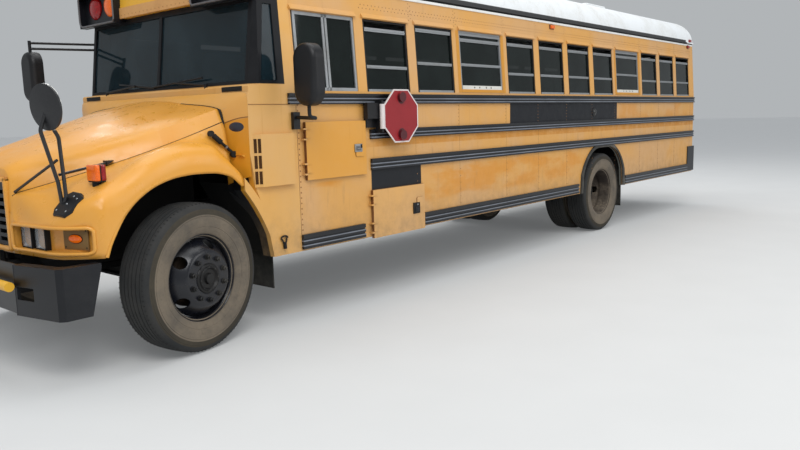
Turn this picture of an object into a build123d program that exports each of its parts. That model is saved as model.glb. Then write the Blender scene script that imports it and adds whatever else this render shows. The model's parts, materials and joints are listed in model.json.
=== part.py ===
from build123d import *
import math
import os

# School bus with a long nose, in mm. Front faces -Y, the driver's side is +X, the ground is Z = 0.
# The origin is on the ground under the middle of the bounding box.

# Layout along the bus
wheelbase = 6401
front_reach = 1087
rear_reach = 3500
datum_lag = 101
overall_length = front_reach + wheelbase + rear_reach
front_axle_y = front_reach - overall_length / 2
rear_axle_y = front_axle_y + wheelbase
datum_y = front_axle_y + datum_lag
rear_bumper_depth = 110
body_rear_y = rear_axle_y + rear_reach - rear_bumper_depth

# Body section
half_width = 1219
wall = 40
skirt_z = 560
floor_z = 1150
floor_thickness = 40
sill_z = 1803
window_top_z = 2405
eave_z = 2650
eave_x = 1165
shoulder_x = 900
shoulder_z = 3000
haunch_x = 1095
haunch_z = 2870
roof_z = 3120
roof_end_radius = 420
gap = 6
seat_gap = 0.3

# Nose and cowl, distances behind the datum, a line a little behind the front axle
hood_rear = 350
cowl_front = 366
cowl_corner_x = 1010
# Front corner of the cowl's side: height and distance behind the datum
cowl_corner = ((skirt_z, 612), (752, 588), (1066, 470), (1360, 418), (1900, 424))
cowl_seam = 881
ledge_front = 434
ledge_z = 1842
windshield_y = 466
windshield_rake = 84
corner_post_x = 1150
corner_post_y = 490
corner_post_rear = 540
quarter_pane = ((560, 1876), (715, 1876), (715, 2430), (636, 2430))
mullion_half = 18
windshield_foot_z = 1850
windshield_top_z = 2440
header_top_z = 2800
cowl_y = datum_y + cowl_front
pillar_rear_y = datum_y + cowl_seam

# Side windows
driver_window_front = 879
driver_window_width = 704
first_window = 1692
pane_width = 572
exit_pane_width = 748
post_width = 114
drip_hood = (44, 22)
window_count = 11
exit_windows = (3, 8)
pane_thickness = 6
sash_depth = 24
sash_bar = 26

# Rub rails: name, height of the lower edge, height of the upper edge, front end behind the datum
rub_rail_rows = (
    ("skirt", 575, 690, 879),
    ("floor", 1141, 1236, 1699),
    ("belt", 1403, 1485, 1697),
    ("sill", 1699, 1783, 800),
)
rail_depth = 24
rail_groove = 12
rail_rib_count = 3

# Wheels
tyre_radius = 520
tyre_width = 279
tyre_bead_radius = 286
rim_lip_radius = 304
rim_width = 210
rim_metal = 14
hub_radius = 82
stud_circle_radius = 168
stud_count = 10
stud_radius = 17
stud_length = 26
hand_hole_radius = 34
hand_hole_circle = 226
hand_hole_count = 8
front_wheel_x = 1116
rear_outer_x = 1062
twin_spacing = 332
rear_hub_bore = 74.5
spindle_reach = 980
pin_clear = 0.1
kingpin_x = 890
steer_angle = 9.2
brake_drum_radius = 208

# Wheel arches
# Lip of the front arch: distance behind the datum and height, corners and the middles of its arcs
front_lip = ((-760, 480), (-714, 765), (-560, 1035), (-330, 1190), (-30, 1240), (240, 1214), (430, 985), (565, 730),
             (612, 480))
front_arch_inner_x = 679
flare_band = 62
flare_inner_x = 1090
rear_arch_half_width = 620
rear_arch_top_z = 1120
rear_arch_offset = -30
flare_width = 50
flare_depth = 22

# Hood: distance behind the datum, centre crest z, crease x and z, shoulder x and z, seam x and z
hood_stations = (
    (-955, 1330, 400, 1318, 468, 1262, 486, 1150),
    (-860, 1388, 412, 1364, 520, 1295, 560, 1180),
    (-560, 1490, 448, 1455, 672, 1380, 722, 1272),
    (-260, 1586, 484, 1548, 805, 1475, 858, 1368),
    (60, 1690, 518, 1645, 915, 1572, 940, 1474),
    (350, 1762, 550, 1722, 988, 1668, 1012, 1582),
)
hood_skin = 22
hood_foot_z = 765
hood_nose_y = 985
# Nose in plan: x and distance ahead of the datum
nose_plan = ((0, 985), (450, 972), (650, 945))
nose_corner_mid = (1090, 850)
nose_corner_end = (1215, 700)
fender_x = 1219
# Fender crown: distance behind the datum and height
fender_crown = ((-990, 925), (-900, 1005), (-813, 1100), (-698, 1172), (-537, 1267), (-369, 1365),
                (-197, 1425), (-48, 1448), (136, 1438), (228, 1371), (288, 1300), (360, 1236))
liner_x = 600
liner_metal = 4
liner_foot_z = 690
grille_half_width = 430
grille_bottom_z = 800
grille_top_z = 1228
grille_bar_count = 7
grille_bar_height = 26
grille_depth = 45
lamp_recess_x = (500, 1165)
lamp_recess_z = (804, 950)
lamp_plate = ((489, -912), (820, -880), (1050, -806), (1200, -716))
lamp_plate_metal = 20
headlamp_x = (590, 752)
headlamp_z = 880
turn_lamp_x = 975
hood_hinge_y = 932
hood_hinge_z = 768
hood_hinge_x = 330
hood_hinge_radius = 14

# Bumpers
bumper_bottom_z = 425
bumper_top_z = 745
bumper_half_width = 1219
bumper_metal = 10
bumper_front = 1125
bumper_end = 800
bumper_recess_half = 790
bumper_recess = 34
tow_hole_x = 895
tow_hole_z = 530
tow_hole_size = (160, 80)
rear_bumper_z = (572, 978)

# Doors
entry_front = 905
entry_rear = 1600
entry_foot_z = 430
entry_top_z = 2390
leaf_thickness = 34
step_count = 3
step_depth = 230
step_tread = 30
stairwell_z = 396
rear_door_half = 480
rear_door_foot_z = 1130
rear_door_top_z = 2480
battery_door = (1692, 2400, 548, 966)
access_door = (946, 1622, 1113, 1562)
door_proud = 28

# Chassis
rail_x = 430
rail_flange = 80
rail_metal = 10
rail_z = (690, 950)
rail_front = -905
cross_rows = (-762, 1100, 2100, 4500, 5600, 7000, 8200, 9350)
cross_height = 120
sill_beam_pitch = 686
sill_beam_width = 80

# Small parts
mirror_reach = 1600
mirror_width = 235
mirror_height = 450
mirror_depth = 110
tube_radius = 11
stop_hinge_y = 1777
stop_z = 1592
stop_width = 457
stop_offset = 95
stop_thickness = 8
arm_radius = 30
arm_z = 618
arm_hinge_x = -775
arm_tip_x = 830
seat_pitch = 686
seat_rows = 11
first_seat = 2080
aisle_half = 190
seat_width = 965
seat_back_top = 930
seat_height = 430

os.makedirs("parts", exist_ok=True)


def along(distance):
    """Y of a point this far behind the datum."""
    return datum_y + distance


def axle(distance):
    """Y of a point this far behind the front axle."""
    return front_axle_y + distance


def block(x0, x1, y0, y1, z0, z1):
    """A block between two corners."""
    middle = Pos((x0 + x1) / 2, (y0 + y1) / 2, (z0 + z1) / 2)
    return middle * Box(abs(x1 - x0), abs(y1 - y0), abs(z1 - z0))


def along_y(points, y0, y1):
    """An (x, z) outline carried from y0 to y1."""
    face = make_face(Polyline(*[(x, y0, z) for x, z in points], close=True))
    return extrude(face, amount=y1 - y0, dir=(0, 1, 0))


def along_x(points, x0, x1):
    """A (y, z) outline carried from x0 to x1."""
    face = make_face(Polyline(*[(x0, y, z) for y, z in points], close=True))
    return extrude(face, amount=x1 - x0, dir=(1, 0, 0))


def along_z(points, z0, z1):
    """An (x, y) outline carried from z0 to z1."""
    face = make_face(Polyline(*[(x, y, z0) for x, y in points], close=True))
    return extrude(face, amount=z1 - z0, dir=(0, 0, 1))


def tube(points, radius, bend):
    """A round tube on straight runs joined by arcs."""
    path = FilletPolyline(*points, radius=bend) if len(points) > 2 else Line(*points)
    section = Plane(origin=path @ 0, z_dir=path % 0) * Circle(radius)
    return sweep(section, path=path)


def bar(x, y, z, axis, radius, length):
    """A round bar centred on a point along X, Y or Z."""
    turn = {"x": Rot(0, 90, 0), "y": Rot(90, 0, 0), "z": Rot(0, 0, 0)}[axis]
    return Pos(x, y, z) * turn * Cylinder(radius, length)


def rounded(solid, axis, radius):
    """The solid with its edges along one axis rounded."""
    return fillet(solid.edges().filter_by(axis), radius)


def both_sides(solid):
    """A solid and its mirror image on the other side of the bus."""
    return solid + mirror(solid, about=Plane.YZ)


def side_x(z):
    """Outside of the body at a height: upright to the sill, then leaning in to the eave."""
    if z <= sill_z:
        return half_width
    return half_width - (half_width - eave_x) * (z - sill_z) / (eave_z - sill_z)


def wall_slab(y0, y1, z0, z1, outer, inner):
    """A slab that follows the left side, from one depth under its surface to another."""
    heights = [z0] + ([sill_z] if z0 < sill_z < z1 else []) + [z1]
    skin = [(side_x(z) - outer, z) for z in heights]
    back = [(side_x(z) - inner, z) for z in reversed(heights)]
    return along_y(skin + back, y0, y1)


def mirrored(solid):
    """The same solid on the right side."""
    return mirror(solid, about=Plane.YZ)


def window_spans():
    """Front and rear edge of each passenger window."""
    spans = []
    y = along(first_window)
    for number in range(1, window_count + 1):
        width = exit_pane_width if number in exit_windows else pane_width
        spans.append((y, y + width, number in exit_windows))
        y += width + post_width
    return spans


def arch_prism(half, top_z, y, x0, x1, grow=0):
    """The space of a rear wheel arch: a flat-topped arch with round shoulders."""
    low = skirt_z - 60
    round_z = top_z - 330
    outline = [
        Line((x0, y - half - grow, low), (x0, y - half - grow + 25, round_z)),
        ThreePointArc(
            (x0, y - half - grow + 25, round_z),
            (x0, y - half * 0.66, top_z - 85 + grow * 0.8),
            (x0, y - half * 0.28, top_z + grow),
        ),
        Line((x0, y - half * 0.28, top_z + grow), (x0, y + half * 0.28, top_z + grow)),
        ThreePointArc(
            (x0, y + half * 0.28, top_z + grow),
            (x0, y + half * 0.66, top_z - 85 + grow * 0.8),
            (x0, y + half + grow - 25, round_z),
        ),
        Line((x0, y + half + grow - 25, round_z), (x0, y + half + grow, low)),
        Line((x0, y + half + grow, low), (x0, y - half - grow, low)),
    ]
    return extrude(make_face(outline), amount=x1 - x0, dir=(1, 0, 0))


def front_arch(x0, x1, grow=0):
    """The space of a front wheel arch on the left side, grown away from the wheel."""
    def corner(number):
        distance, z = front_lip[number]
        reach = math.hypot(distance + datum_lag, z - tyre_radius)
        scale = 1 + grow / reach
        return (x0, along((distance + datum_lag) * scale - datum_lag), (z - tyre_radius) * scale + tyre_radius)

    p = [corner(number) for number in range(len(front_lip))]
    outline = [
        Line(p[0], p[1]), ThreePointArc(p[1], p[2], p[3]), ThreePointArc(p[3], p[4], p[5]),
        ThreePointArc(p[5], p[6], p[7]), Line(p[7], p[8]), Line(p[8], p[0]),
    ]
    return extrude(make_face(outline), amount=x1 - x0, dir=(1, 0, 0))


nodes = {}

# Chassis frame: two channel rails, cross members and bumper brackets
rail_outline = [
    (rail_x, rail_z[0]), (rail_x, rail_z[1]), (rail_x - rail_flange, rail_z[1]),
    (rail_x - rail_flange, rail_z[1] - rail_metal), (rail_x - rail_metal, rail_z[1] - rail_metal),
    (rail_x - rail_metal, rail_z[0] + rail_metal), (rail_x - rail_flange, rail_z[0] + rail_metal),
    (rail_x - rail_flange, rail_z[0]),
]
rail_end_y = body_rear_y - wall - gap
frame = both_sides(along_y(rail_outline, along(rail_front), rail_end_y))
for distance in cross_rows:
    member = block(-rail_x + rail_metal / 2, rail_x - rail_metal / 2, along(distance), along(distance) + 60,
                   rail_z[1] - cross_height, rail_z[1])
    member -= block(-rail_x + rail_metal, rail_x - rail_metal, along(distance) - 1, along(distance) + 48,
                    rail_z[1] - cross_height + 12, rail_z[1] - 12)
    frame += member
bumper_back = bumper_front - bumper_recess - bumper_metal
horn = block(rail_x - 22, rail_x, along(-bumper_back) + seat_gap, along(rail_front) + 120, 480, rail_z[0] + 15)
frame += both_sides(horn)
hinge_post = block(hood_hinge_x - 45, hood_hinge_x - 15, along(-hood_hinge_y - 18), along(rail_front) + 30,
                   rail_z[0] + 20, hood_hinge_z + 16)
hinge_post += block(hood_hinge_x - 45, rail_x, along(rail_front), along(rail_front) + 30, rail_z[0] + 20, 760)
frame += both_sides(hinge_post)
rear_horn = block(rail_x - 22, rail_x, rail_end_y - 150, rail_end_y, rear_bumper_z[0] + 40, rail_z[0] + 40)
frame += both_sides(rear_horn)
hinge_pin = bar(hood_hinge_x - 2, along(-hood_hinge_y), hood_hinge_z, "x", hood_hinge_radius, 84)
frame += both_sides(hinge_pin)
nodes["chassis_frame"] = frame

# Engine and gearbox as plain blocks, and the radiator that shows through the grille
engine = rounded(block(-290, 290, along(-690), along(300), 640, 1230), Axis.Y, 40)
engine += block(-190, 190, along(300), along(1060), 600, 940)
engine += block(-rail_x + rail_metal, rail_x - rail_metal, along(-420), along(-340), 830, 900)
nodes["engine"] = engine
nodes["radiator"] = block(-338, 338, along(-850), along(-770), 782, 1262) + both_sides(
    block(330, rail_x - rail_metal, along(-840), along(-780), rail_z[1], rail_z[1] + 90))

# Front axle: dropped beam, leaf springs and their hangers
beam_z = 430
beam_half = kingpin_x - 40
beam = block(-beam_half, beam_half, axle(-45), axle(45), beam_z, beam_z + 18)
beam += block(-beam_half, beam_half, axle(-45), axle(45), beam_z + 82, beam_z + 100)
beam += block(-beam_half, beam_half, axle(-10), axle(10), beam_z + 18, beam_z + 82)
for side in (-1, 1):
    beam += bar(side * kingpin_x, axle(0), tyre_radius, "z", 34, 300)
    beam += bar(side * kingpin_x, axle(0), beam_z + 67, "z", 52, 138)
    spring_x = side * (rail_x - rail_flange / 2)
    for leaf in range(4):
        reach = 620 - leaf * 120
        beam += block(spring_x - 38, spring_x + 38, axle(-reach), axle(reach),
                      beam_z + 144 - leaf * 11, beam_z + 155 - leaf * 11)
    beam += block(spring_x - 38, spring_x + 38, axle(-50), axle(50), beam_z + 99, beam_z + 116)
    for end in (-600, 600):
        beam += block(spring_x - 38, spring_x + 38, axle(end - 20), axle(end + 20),
                      beam_z + 150, rail_z[0])
nodes["front_axle"] = beam

# Rear axle: housing, differential, springs and drive shaft
axle_z = tyre_radius
housing_reach = rear_outer_x - twin_spacing - tyre_width / 2 - 30
housing = bar(0, rear_axle_y, axle_z, "x", 72, 2 * housing_reach)
for side in (-1, 1):
    housing += bar(side * (housing_reach + spindle_reach) / 2, rear_axle_y, axle_z, "x", rear_hub_bore - pin_clear,
                   spindle_reach - housing_reach + 20)
housing += Pos(0, rear_axle_y, axle_z) * Rot(0, 90, 0) * Cylinder(190, 150)
housing += Pos(0, rear_axle_y - 150, axle_z) * Rot(90, 0, 0) * Cone(60, 110, 180)
for side in (-1, 1):
    spring_x = side * (rail_x + 42)
    for leaf in range(5):
        reach = 640 - leaf * 110
        housing += block(spring_x - 36, spring_x + 36, rear_axle_y - reach, rear_axle_y + reach,
                         axle_z + 118 - leaf * 12, axle_z + 130 - leaf * 12)
    for end in (-620, 620):
        housing += block(side * rail_x, spring_x + side * 36, rear_axle_y + end - 20, rear_axle_y + end + 20,
                         axle_z + 124, rail_z[0] + 90)
shaft_front = Vector(0, along(1060) + seat_gap, 700)
shaft_rear = Vector(0, rear_axle_y - 240 - seat_gap, axle_z)
shaft_axis = (shaft_rear - shaft_front).normalized()
shaft = Plane(origin=shaft_front, z_dir=shaft_axis) * Circle(46)
housing += extrude(shaft, amount=(shaft_rear - shaft_front).length + 20, dir=shaft_axis) - engine
nodes["rear_axle"] = housing

# Steering knuckles: kingpin sleeve, spindle and backing plate, turned as parked
def steered(solid, side):
    """A part of a front wheel station, turned about its kingpin as the bus is parked."""
    pin = Pos(side * kingpin_x, axle(0), 0)
    back = Pos(-side * kingpin_x, -axle(0), 0)
    return pin * Rot(0, 0, steer_angle) * back * solid


spindle_radius = 37 - pin_clear
hub_back = 66
for side, word in ((1, "left"), (-1, "right")):
    sleeve = bar(side * kingpin_x, axle(0), tyre_radius + 95, "z", 66, 90)
    sleeve += bar(side * kingpin_x, axle(0), tyre_radius - 118, "z", 66, 44)
    arm_x0 = side * (kingpin_x + 60)
    sleeve += block(arm_x0, side * (kingpin_x + 96), axle(-58), axle(58), tyre_radius - 140, tyre_radius + 140)
    spindle_length = front_wheel_x + 70 - (kingpin_x + 90)
    sleeve += bar(side * (kingpin_x + 90 + spindle_length / 2), axle(0), tyre_radius, "x", spindle_radius,
                  spindle_length)
    sleeve -= bar(side * kingpin_x, axle(0), tyre_radius, "z", 34 + pin_clear, 400)
    nodes["knuckle_" + word] = steered(sleeve, side)


# Wheels, built about the X axis with the outside towards +X
def tyre():
    half = tyre_width / 2
    outline = [
        Line((-rim_width / 2, 0, tyre_bead_radius), (rim_width / 2, 0, tyre_bead_radius)),
        Line((rim_width / 2, 0, tyre_bead_radius), (rim_width / 2, 0, rim_lip_radius + 2)),
        ThreePointArc((rim_width / 2, 0, rim_lip_radius + 2), (half, 0, 404), (half - 22, 0, 494)),
        ThreePointArc((half - 22, 0, 494), (half - 30, 0, 510), (half - 46, 0, tyre_radius - 5)),
        ThreePointArc((half - 46, 0, tyre_radius - 5), (0, 0, tyre_radius), (46 - half, 0, tyre_radius - 5)),
        ThreePointArc((46 - half, 0, tyre_radius - 5), (30 - half, 0, 510), (22 - half, 0, 494)),
        ThreePointArc((22 - half, 0, 494), (-half, 0, 404), (-rim_width / 2, 0, rim_lip_radius + 2)),
        Line((-rim_width / 2, 0, rim_lip_radius + 2), (-rim_width / 2, 0, tyre_bead_radius)),
    ]
    return revolve(make_face(outline), Axis.X)


def ring(points):
    """A solid of revolution about X from an (x, radius) outline."""
    return revolve(make_face(Polyline(*[(x, 0, r) for x, r in points], close=True)), Axis.X)


def barrel():
    """Rim barrel with a turned-up lip at each side."""
    edge = rim_width / 2
    bead = tyre_bead_radius - seat_gap
    return ring([
        (-edge - 14, rim_lip_radius), (-edge - 3, rim_lip_radius), (-edge - 3, bead), (edge + 3, bead),
        (edge + 3, rim_lip_radius), (edge + 14, rim_lip_radius), (edge + 14, bead - rim_metal),
        (-edge - 14, bead - rim_metal),
    ])


def dish(face_x, edge_x, bore):
    """Wheel disc from the barrel to the stud ring, with its hand holes."""
    inner = tyre_bead_radius - rim_metal + 1
    disc = ring([
        (edge_x, inner), (edge_x + 14, inner), (face_x + 12, 204), (face_x + 12, bore),
        (face_x, bore), (face_x, 198),
    ])
    for number in range(hand_hole_count):
        angle = math.radians(360 / hand_hole_count * number)
        y = hand_hole_circle * math.cos(angle)
        z = hand_hole_circle * math.sin(angle)
        disc -= bar((face_x + edge_x) / 2, y, z, "x", hand_hole_radius, 120)
    return disc


def studs(x):
    """Wheel nuts on the stud ring."""
    shapes = []
    for number in range(stud_count):
        angle = math.radians(360 / stud_count * (number + 0.5))
        y = stud_circle_radius * math.cos(angle)
        z = stud_circle_radius * math.sin(angle)
        shapes.append(bar(x, y, z, "x", stud_radius, stud_length))
    return shapes


front_face = 112
front_rim = barrel() + dish(front_face, 10, 70)
front_rim += ring([
    (-hub_back, 37), (-hub_back, brake_drum_radius), (40, brake_drum_radius), (40, 130), (front_face, 120),
    (front_face, hub_radius), (front_face + 66, hub_radius - 6), (front_face + 76, hub_radius - 24),
    (front_face + 76, 0), (front_face + 4, 0), (front_face + 4, 37),
])
for nut in studs(front_face + 12 + stud_length / 2 - 1):
    front_rim += nut

twin_half = twin_spacing / 2
rear_face = -twin_half
outer_rim = barrel() + dish(rear_face, -40, 90)
inner_rim = mirror(outer_rim, about=Plane.YZ)
rear_rims = Pos(twin_half, 0, 0) * outer_rim + Pos(-twin_half, 0, 0) * inner_rim
rear_rims += ring([
    (-twin_half - 60, rear_hub_bore), (-twin_half - 60, brake_drum_radius), (-20, brake_drum_radius), (-20, 190),
    (12, 190), (12, 112), (112, 104), (112, 0), (96, 0), (96, rear_hub_bore),
])
for nut in studs(12 + stud_length / 2 - 1):
    rear_rims += nut

one_tyre = tyre()
for side, word in ((1, "left"), (-1, "right")):
    to_front = Pos(side * front_wheel_x, axle(0), tyre_radius)
    flip = Rot(0, 0, 0) if side == 1 else Rot(0, 0, 180)
    nodes["front_" + word + "_tyre"] = steered(to_front * flip * one_tyre, side)
    nodes["front_" + word + "_rim"] = steered(to_front * flip * front_rim, side)
    middle_x = rear_outer_x - twin_half
    to_rear = Pos(side * middle_x, rear_axle_y, tyre_radius) * flip
    outer_tyre = to_rear * Pos(twin_half, 0, 0) * one_tyre
    inner_tyre = to_rear * Pos(-twin_half, 0, 0) * one_tyre
    nodes["rear_" + word + "_tyres"] = Compound(children=[outer_tyre, inner_tyre])
    nodes["rear_" + word + "_rims"] = to_rear * rear_rims

# Body floor on its cross sills, with the stairwell cut out
floor_front_y = along(700)
floor = block(-half_width + wall + seat_gap, half_width - wall - seat_gap, floor_front_y,
              body_rear_y - wall - seat_gap, floor_z - floor_thickness, floor_z)
sill_y = along(760)
while sill_y < body_rear_y - 200:
    sill_half = half_width - wall - 60
    floor += block(-sill_half, sill_half, sill_y, sill_y + sill_beam_width,
                   rail_z[1] + seat_gap, floor_z - floor_thickness)
    sill_y += sill_beam_pitch
for side in (-1, 1):
    floor -= block(side * (housing_reach - 20), side * half_width, rear_axle_y - tyre_radius - 60,
                   rear_axle_y + tyre_radius + 60, 0, floor_z - floor_thickness)
stair_inner_x = -half_width + wall + step_count * step_depth
floor -= block(-half_width, stair_inner_x, along(entry_front), along(entry_rear), 0, floor_z + 1)
for distance in (entry_front, entry_rear):
    floor -= block(-half_width, half_width, along(distance) - seat_gap / 2, along(distance) + seat_gap / 2,
                   0, floor_z + 1)
nodes["body_floor"] = floor

# Stairwell: treads and risers between two side plates
riser = (floor_z - stairwell_z - step_tread) / step_count
stairs = block(-half_width + leaf_thickness + gap, stair_inner_x - seat_gap, along(entry_front) + seat_gap,
               along(entry_front) + 14, stairwell_z, floor_z)
stairs += block(-half_width + leaf_thickness + gap, stair_inner_x - seat_gap, along(entry_rear) - 14,
                along(entry_rear) - seat_gap, stairwell_z, floor_z)
for step in range(step_count):
    x0 = -half_width + leaf_thickness + gap + step * step_depth
    x1 = x0 + step_depth
    tread_z = stairwell_z + step_tread + step * riser
    stairs += block(x0, min(x1 + 14, stair_inner_x - seat_gap), along(entry_front) + 10, along(entry_rear) - 10,
                    tread_z - step_tread, tread_z)
    x_riser = min(x1, stair_inner_x - seat_gap - 14)
    stairs += block(x_riser, x_riser + 14, along(entry_front) + 10, along(entry_rear) - 10,
                    tread_z - step_tread, tread_z + riser)
nodes["entry_steps"] = stairs

# Side walls
def window_hood(y0, y1):
    """A pressed drip hood over a window on the left side."""
    low = window_top_z + 5
    high = low + drip_hood[0]
    lip = side_x(low) + drip_hood[1]
    points = [(side_x(low) - 2, low), (lip, low), (lip, low + 8), (side_x(high) - 2, high)]
    return along_y(points, y0 - 16, y1 + 16)


spans = window_spans()
driver_span = (along(driver_window_front), along(driver_window_front + driver_window_width))
wall_rear_y = body_rear_y - wall
plain_wall = wall_slab(pillar_rear_y + seat_gap, wall_rear_y - seat_gap, skirt_z, eave_z - seat_gap, 0, wall)
for y0, y1, is_exit in spans:
    plain_wall -= wall_slab(y0, y1, sill_z, window_top_z, -20, wall + 20)
    plain_wall += window_hood(y0, y1)
arch_y = rear_axle_y + rear_arch_offset
plain_wall -= arch_prism(rear_arch_half_width, rear_arch_top_z, arch_y, half_width - 200, half_width + 50)
left_wall = plain_wall - wall_slab(driver_span[0] + 20, driver_span[1], sill_z, window_top_z, -20, wall + 20)
left_wall += window_hood(driver_span[0] + 20, driver_span[1])
left_wall -= wall_slab(along(battery_door[0]), along(battery_door[1]), skirt_z - 50, battery_door[3], -20, wall + 20)
left_wall -= wall_slab(along(access_door[0]) + gap, along(access_door[1]) - gap, access_door[2] + gap,
                       access_door[3] - gap, -20, wall + 20)
nodes["left_wall"] = left_wall
right_wall = plain_wall - wall_slab(along(entry_front), along(entry_rear), 0, entry_top_z, -20, wall + 20)
nodes["right_wall"] = mirrored(right_wall)

# Compartments behind the battery door and the access door
battery_box = block(half_width - 620, half_width - wall - seat_gap, along(battery_door[0]) + 10,
                    along(battery_door[1]) - 10, battery_door[2] + 20, rail_z[1])
battery_box -= block(half_width - 600, half_width, along(battery_door[0]) + 24, along(battery_door[1]) - 24,
                     battery_door[2] + 40, rail_z[1] - 16)
for row in range(2):
    y0 = along(battery_door[0]) + 60 + row * 300
    battery_box += block(half_width - 420, half_width - 120, y0, y0 + 270, battery_door[2] + 40,
                         battery_door[2] + 260)
nodes["battery_box"] = battery_box

# Roof: an arched shell with rounded ends and drip rails
def roof_outline(inset, y):
    """Roof section at a y, as lines and arcs."""
    e = (eave_x - inset, y, eave_z)
    h = (haunch_x - inset * 0.8, y, haunch_z - inset * 0.55)
    s = (shoulder_x - inset * 0.4, y, shoulder_z - inset * 0.9)
    top = (0, y, roof_z - inset)
    s2 = (-s[0], y, s[2])
    h2 = (-h[0], y, h[2])
    e2 = (-e[0], y, e[2])
    return [ThreePointArc(e, h, s), ThreePointArc(s, top, s2), ThreePointArc(s2, h2, e2), Line(e2, e)]


def roof_body(inset):
    """The roof as a solid, shrunk by the inset."""
    y0 = along(windshield_y + windshield_rake) + inset
    y1 = body_rear_y - inset
    arch = extrude(make_face(roof_outline(inset, y0 - 50)), amount=y1 - y0 + 100, dir=(0, 1, 0))
    r = roof_end_radius - inset * 0.5
    top = roof_z - inset
    x0 = -half_width
    side = [
        Line((x0, y0, eave_z - 10), (x0, y0 + 8, header_top_z - 60)),
        ThreePointArc((x0, y0 + 8, header_top_z - 60), (x0, y0 + 150, top - 110), (x0, y0 + 560, top + 1)),
        Line((x0, y0 + 560, top + 1), (x0, y1 - r, top + 1)),
        ThreePointArc((x0, y1 - r, top + 1), (x0, y1 - r * 0.3, top - r * 0.29), (x0, y1, top - r)),
        Line((x0, y1, top - r), (x0, y1, eave_z - 10)),
        Line((x0, y1, eave_z - 10), (x0, y0, eave_z - 10)),
    ]
    ends = extrude(make_face(side), amount=2 * half_width, dir=(1, 0, 0))
    return arch & ends


roof = roof_body(0) - roof_body(wall)
drip = along_y([(eave_x - 8, eave_z + 1), (eave_x + 22, eave_z + 1), (eave_x + 22, eave_z + 14),
                (eave_x - 8, eave_z + 20)], pillar_rear_y, body_rear_y - 10)
roof += both_sides(drip)
hatch_rows = (2900, 7900)
hatch_half = 300
for distance in hatch_rows:
    roof -= block(-hatch_half + 30, hatch_half - 30, along(distance) - hatch_half + 30,
                  along(distance) + hatch_half - 30, roof_z - 120, roof_z + 100)
nodes["roof_shell"] = roof

# Roof hatches, propped open to vent
hatch_lift = 60
hatches = []
for distance in hatch_rows:
    curb = block(-hatch_half, hatch_half, along(distance) - hatch_half, along(distance) + hatch_half,
                 roof_z - wall, roof_z + 26)
    curb -= block(-hatch_half + 34, hatch_half - 34, along(distance) - hatch_half + 34,
                  along(distance) + hatch_half - 34, roof_z - 200, roof_z + 200)
    curb -= roof_body(-seat_gap) - roof_body(wall + 20)
    lid = block(-hatch_half - 12, hatch_half + 12, along(distance) - hatch_half - 12,
                along(distance) + hatch_half + 12, roof_z + hatch_lift, roof_z + hatch_lift + 34)
    lid = fillet(lid.faces().sort_by(Axis.Z)[-1].edges(), 24)
    for sx in (-1, 1):
        for sy in (-1, 1):
            lid += bar(sx * (hatch_half - 17), along(distance) + sy * (hatch_half - 17), roof_z + hatch_lift / 2 + 12,
                       "z", 8, hatch_lift - 22)
    hatches.append(curb + lid)
nodes["roof_hatches"] = Compound(children=hatches)

# Front cap: cowl, windshield surround and header
def front_plan(inset, back):
    """Plan of the front at windshield level, left half then right half."""
    half = [
        (0, along(windshield_y) + back + inset),
        (corner_post_x - inset, along(corner_post_y) + back + inset),
        (half_width - inset, along(corner_post_rear) + back * 0.9 + inset * 0.4),
        (half_width - inset, pillar_rear_y + 60),
    ]
    return half + [(-x, y) for x, y in reversed(half[1:])]


def cap_loft(inset):
    """Windshield zone between the cowl and the header."""
    low = [(x, y, windshield_foot_z - 150) for x, y in front_plan(inset, -20)]
    high = [(x, y, eave_z + 20) for x, y in front_plan(inset, windshield_rake + 22)]
    return loft([make_face(Polyline(*low, close=True)), make_face(Polyline(*high, close=True))], ruled=True)


def side_prism(points, x0, x1, shrink=0):
    """An outline of distances and heights carried along X, shrunk towards its middle."""
    mid_y = sum(y for y, z in points) / len(points)
    mid_z = sum(z for y, z in points) / len(points)
    outline = []
    for y, z in points:
        step_y = shrink if y < mid_y else -shrink
        step_z = shrink if z < mid_z else -shrink
        outline.append((along(y + step_y), z + step_z))
    return along_x(outline, x0, x1)


section_all = [(half_width, 300), (half_width, sill_z), (eave_x, eave_z), (eave_x, eave_z + 40)]
section_all = section_all + [(-x, z) for x, z in reversed(section_all)]
inner_x = half_width - wall
section_in = [(inner_x, 200), (inner_x, sill_z), (eave_x - wall, eave_z), (eave_x - wall, eave_z + 80)]
section_in = section_in + [(-x, z) for x, z in reversed(section_in)]
upper = cap_loft(0) & along_y(section_all, along(0), pillar_rear_y)
upper -= cap_loft(wall) & along_y(section_in, along(0), pillar_rear_y + 80)
upper = upper & block(-1300, 1300, along(0), pillar_rear_y, windshield_foot_z - 60, eave_z - seat_gap)


def cowl_body(inset):
    """The cowl as a solid: its corners run back towards the foot."""
    front = cowl_y + inset
    sections = []
    for z, distance in cowl_corner:
        corner_y = along(distance) + inset
        half = [(0, front), (cowl_corner_x - inset * 0.5, front), (half_width - inset, corner_y),
                (half_width - inset, pillar_rear_y + (50 if inset else 0))]
        points = half + [(-x, y) for x, y in reversed(half[1:])]
        height = z - (60 if inset and z == skirt_z else 0)
        sections.append(make_face(Polyline(*[(x, y, height) for x, y in points], close=True)))
    return loft(sections, ruled=True)


# Profile of the cowl top: a lip, a hollow behind the hood and the ledge under the glass
ledge_y = along(ledge_front)
cowl_top = [
    (cowl_y - 60, skirt_z - 80), (cowl_y - 60, 1676), (cowl_y, 1676), (cowl_y + 26, 1706), (ledge_y, 1790),
    (ledge_y, ledge_z - 12), (ledge_y + 10, ledge_z), (pillar_rear_y, ledge_z), (pillar_rear_y, skirt_z - 80),
]
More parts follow.
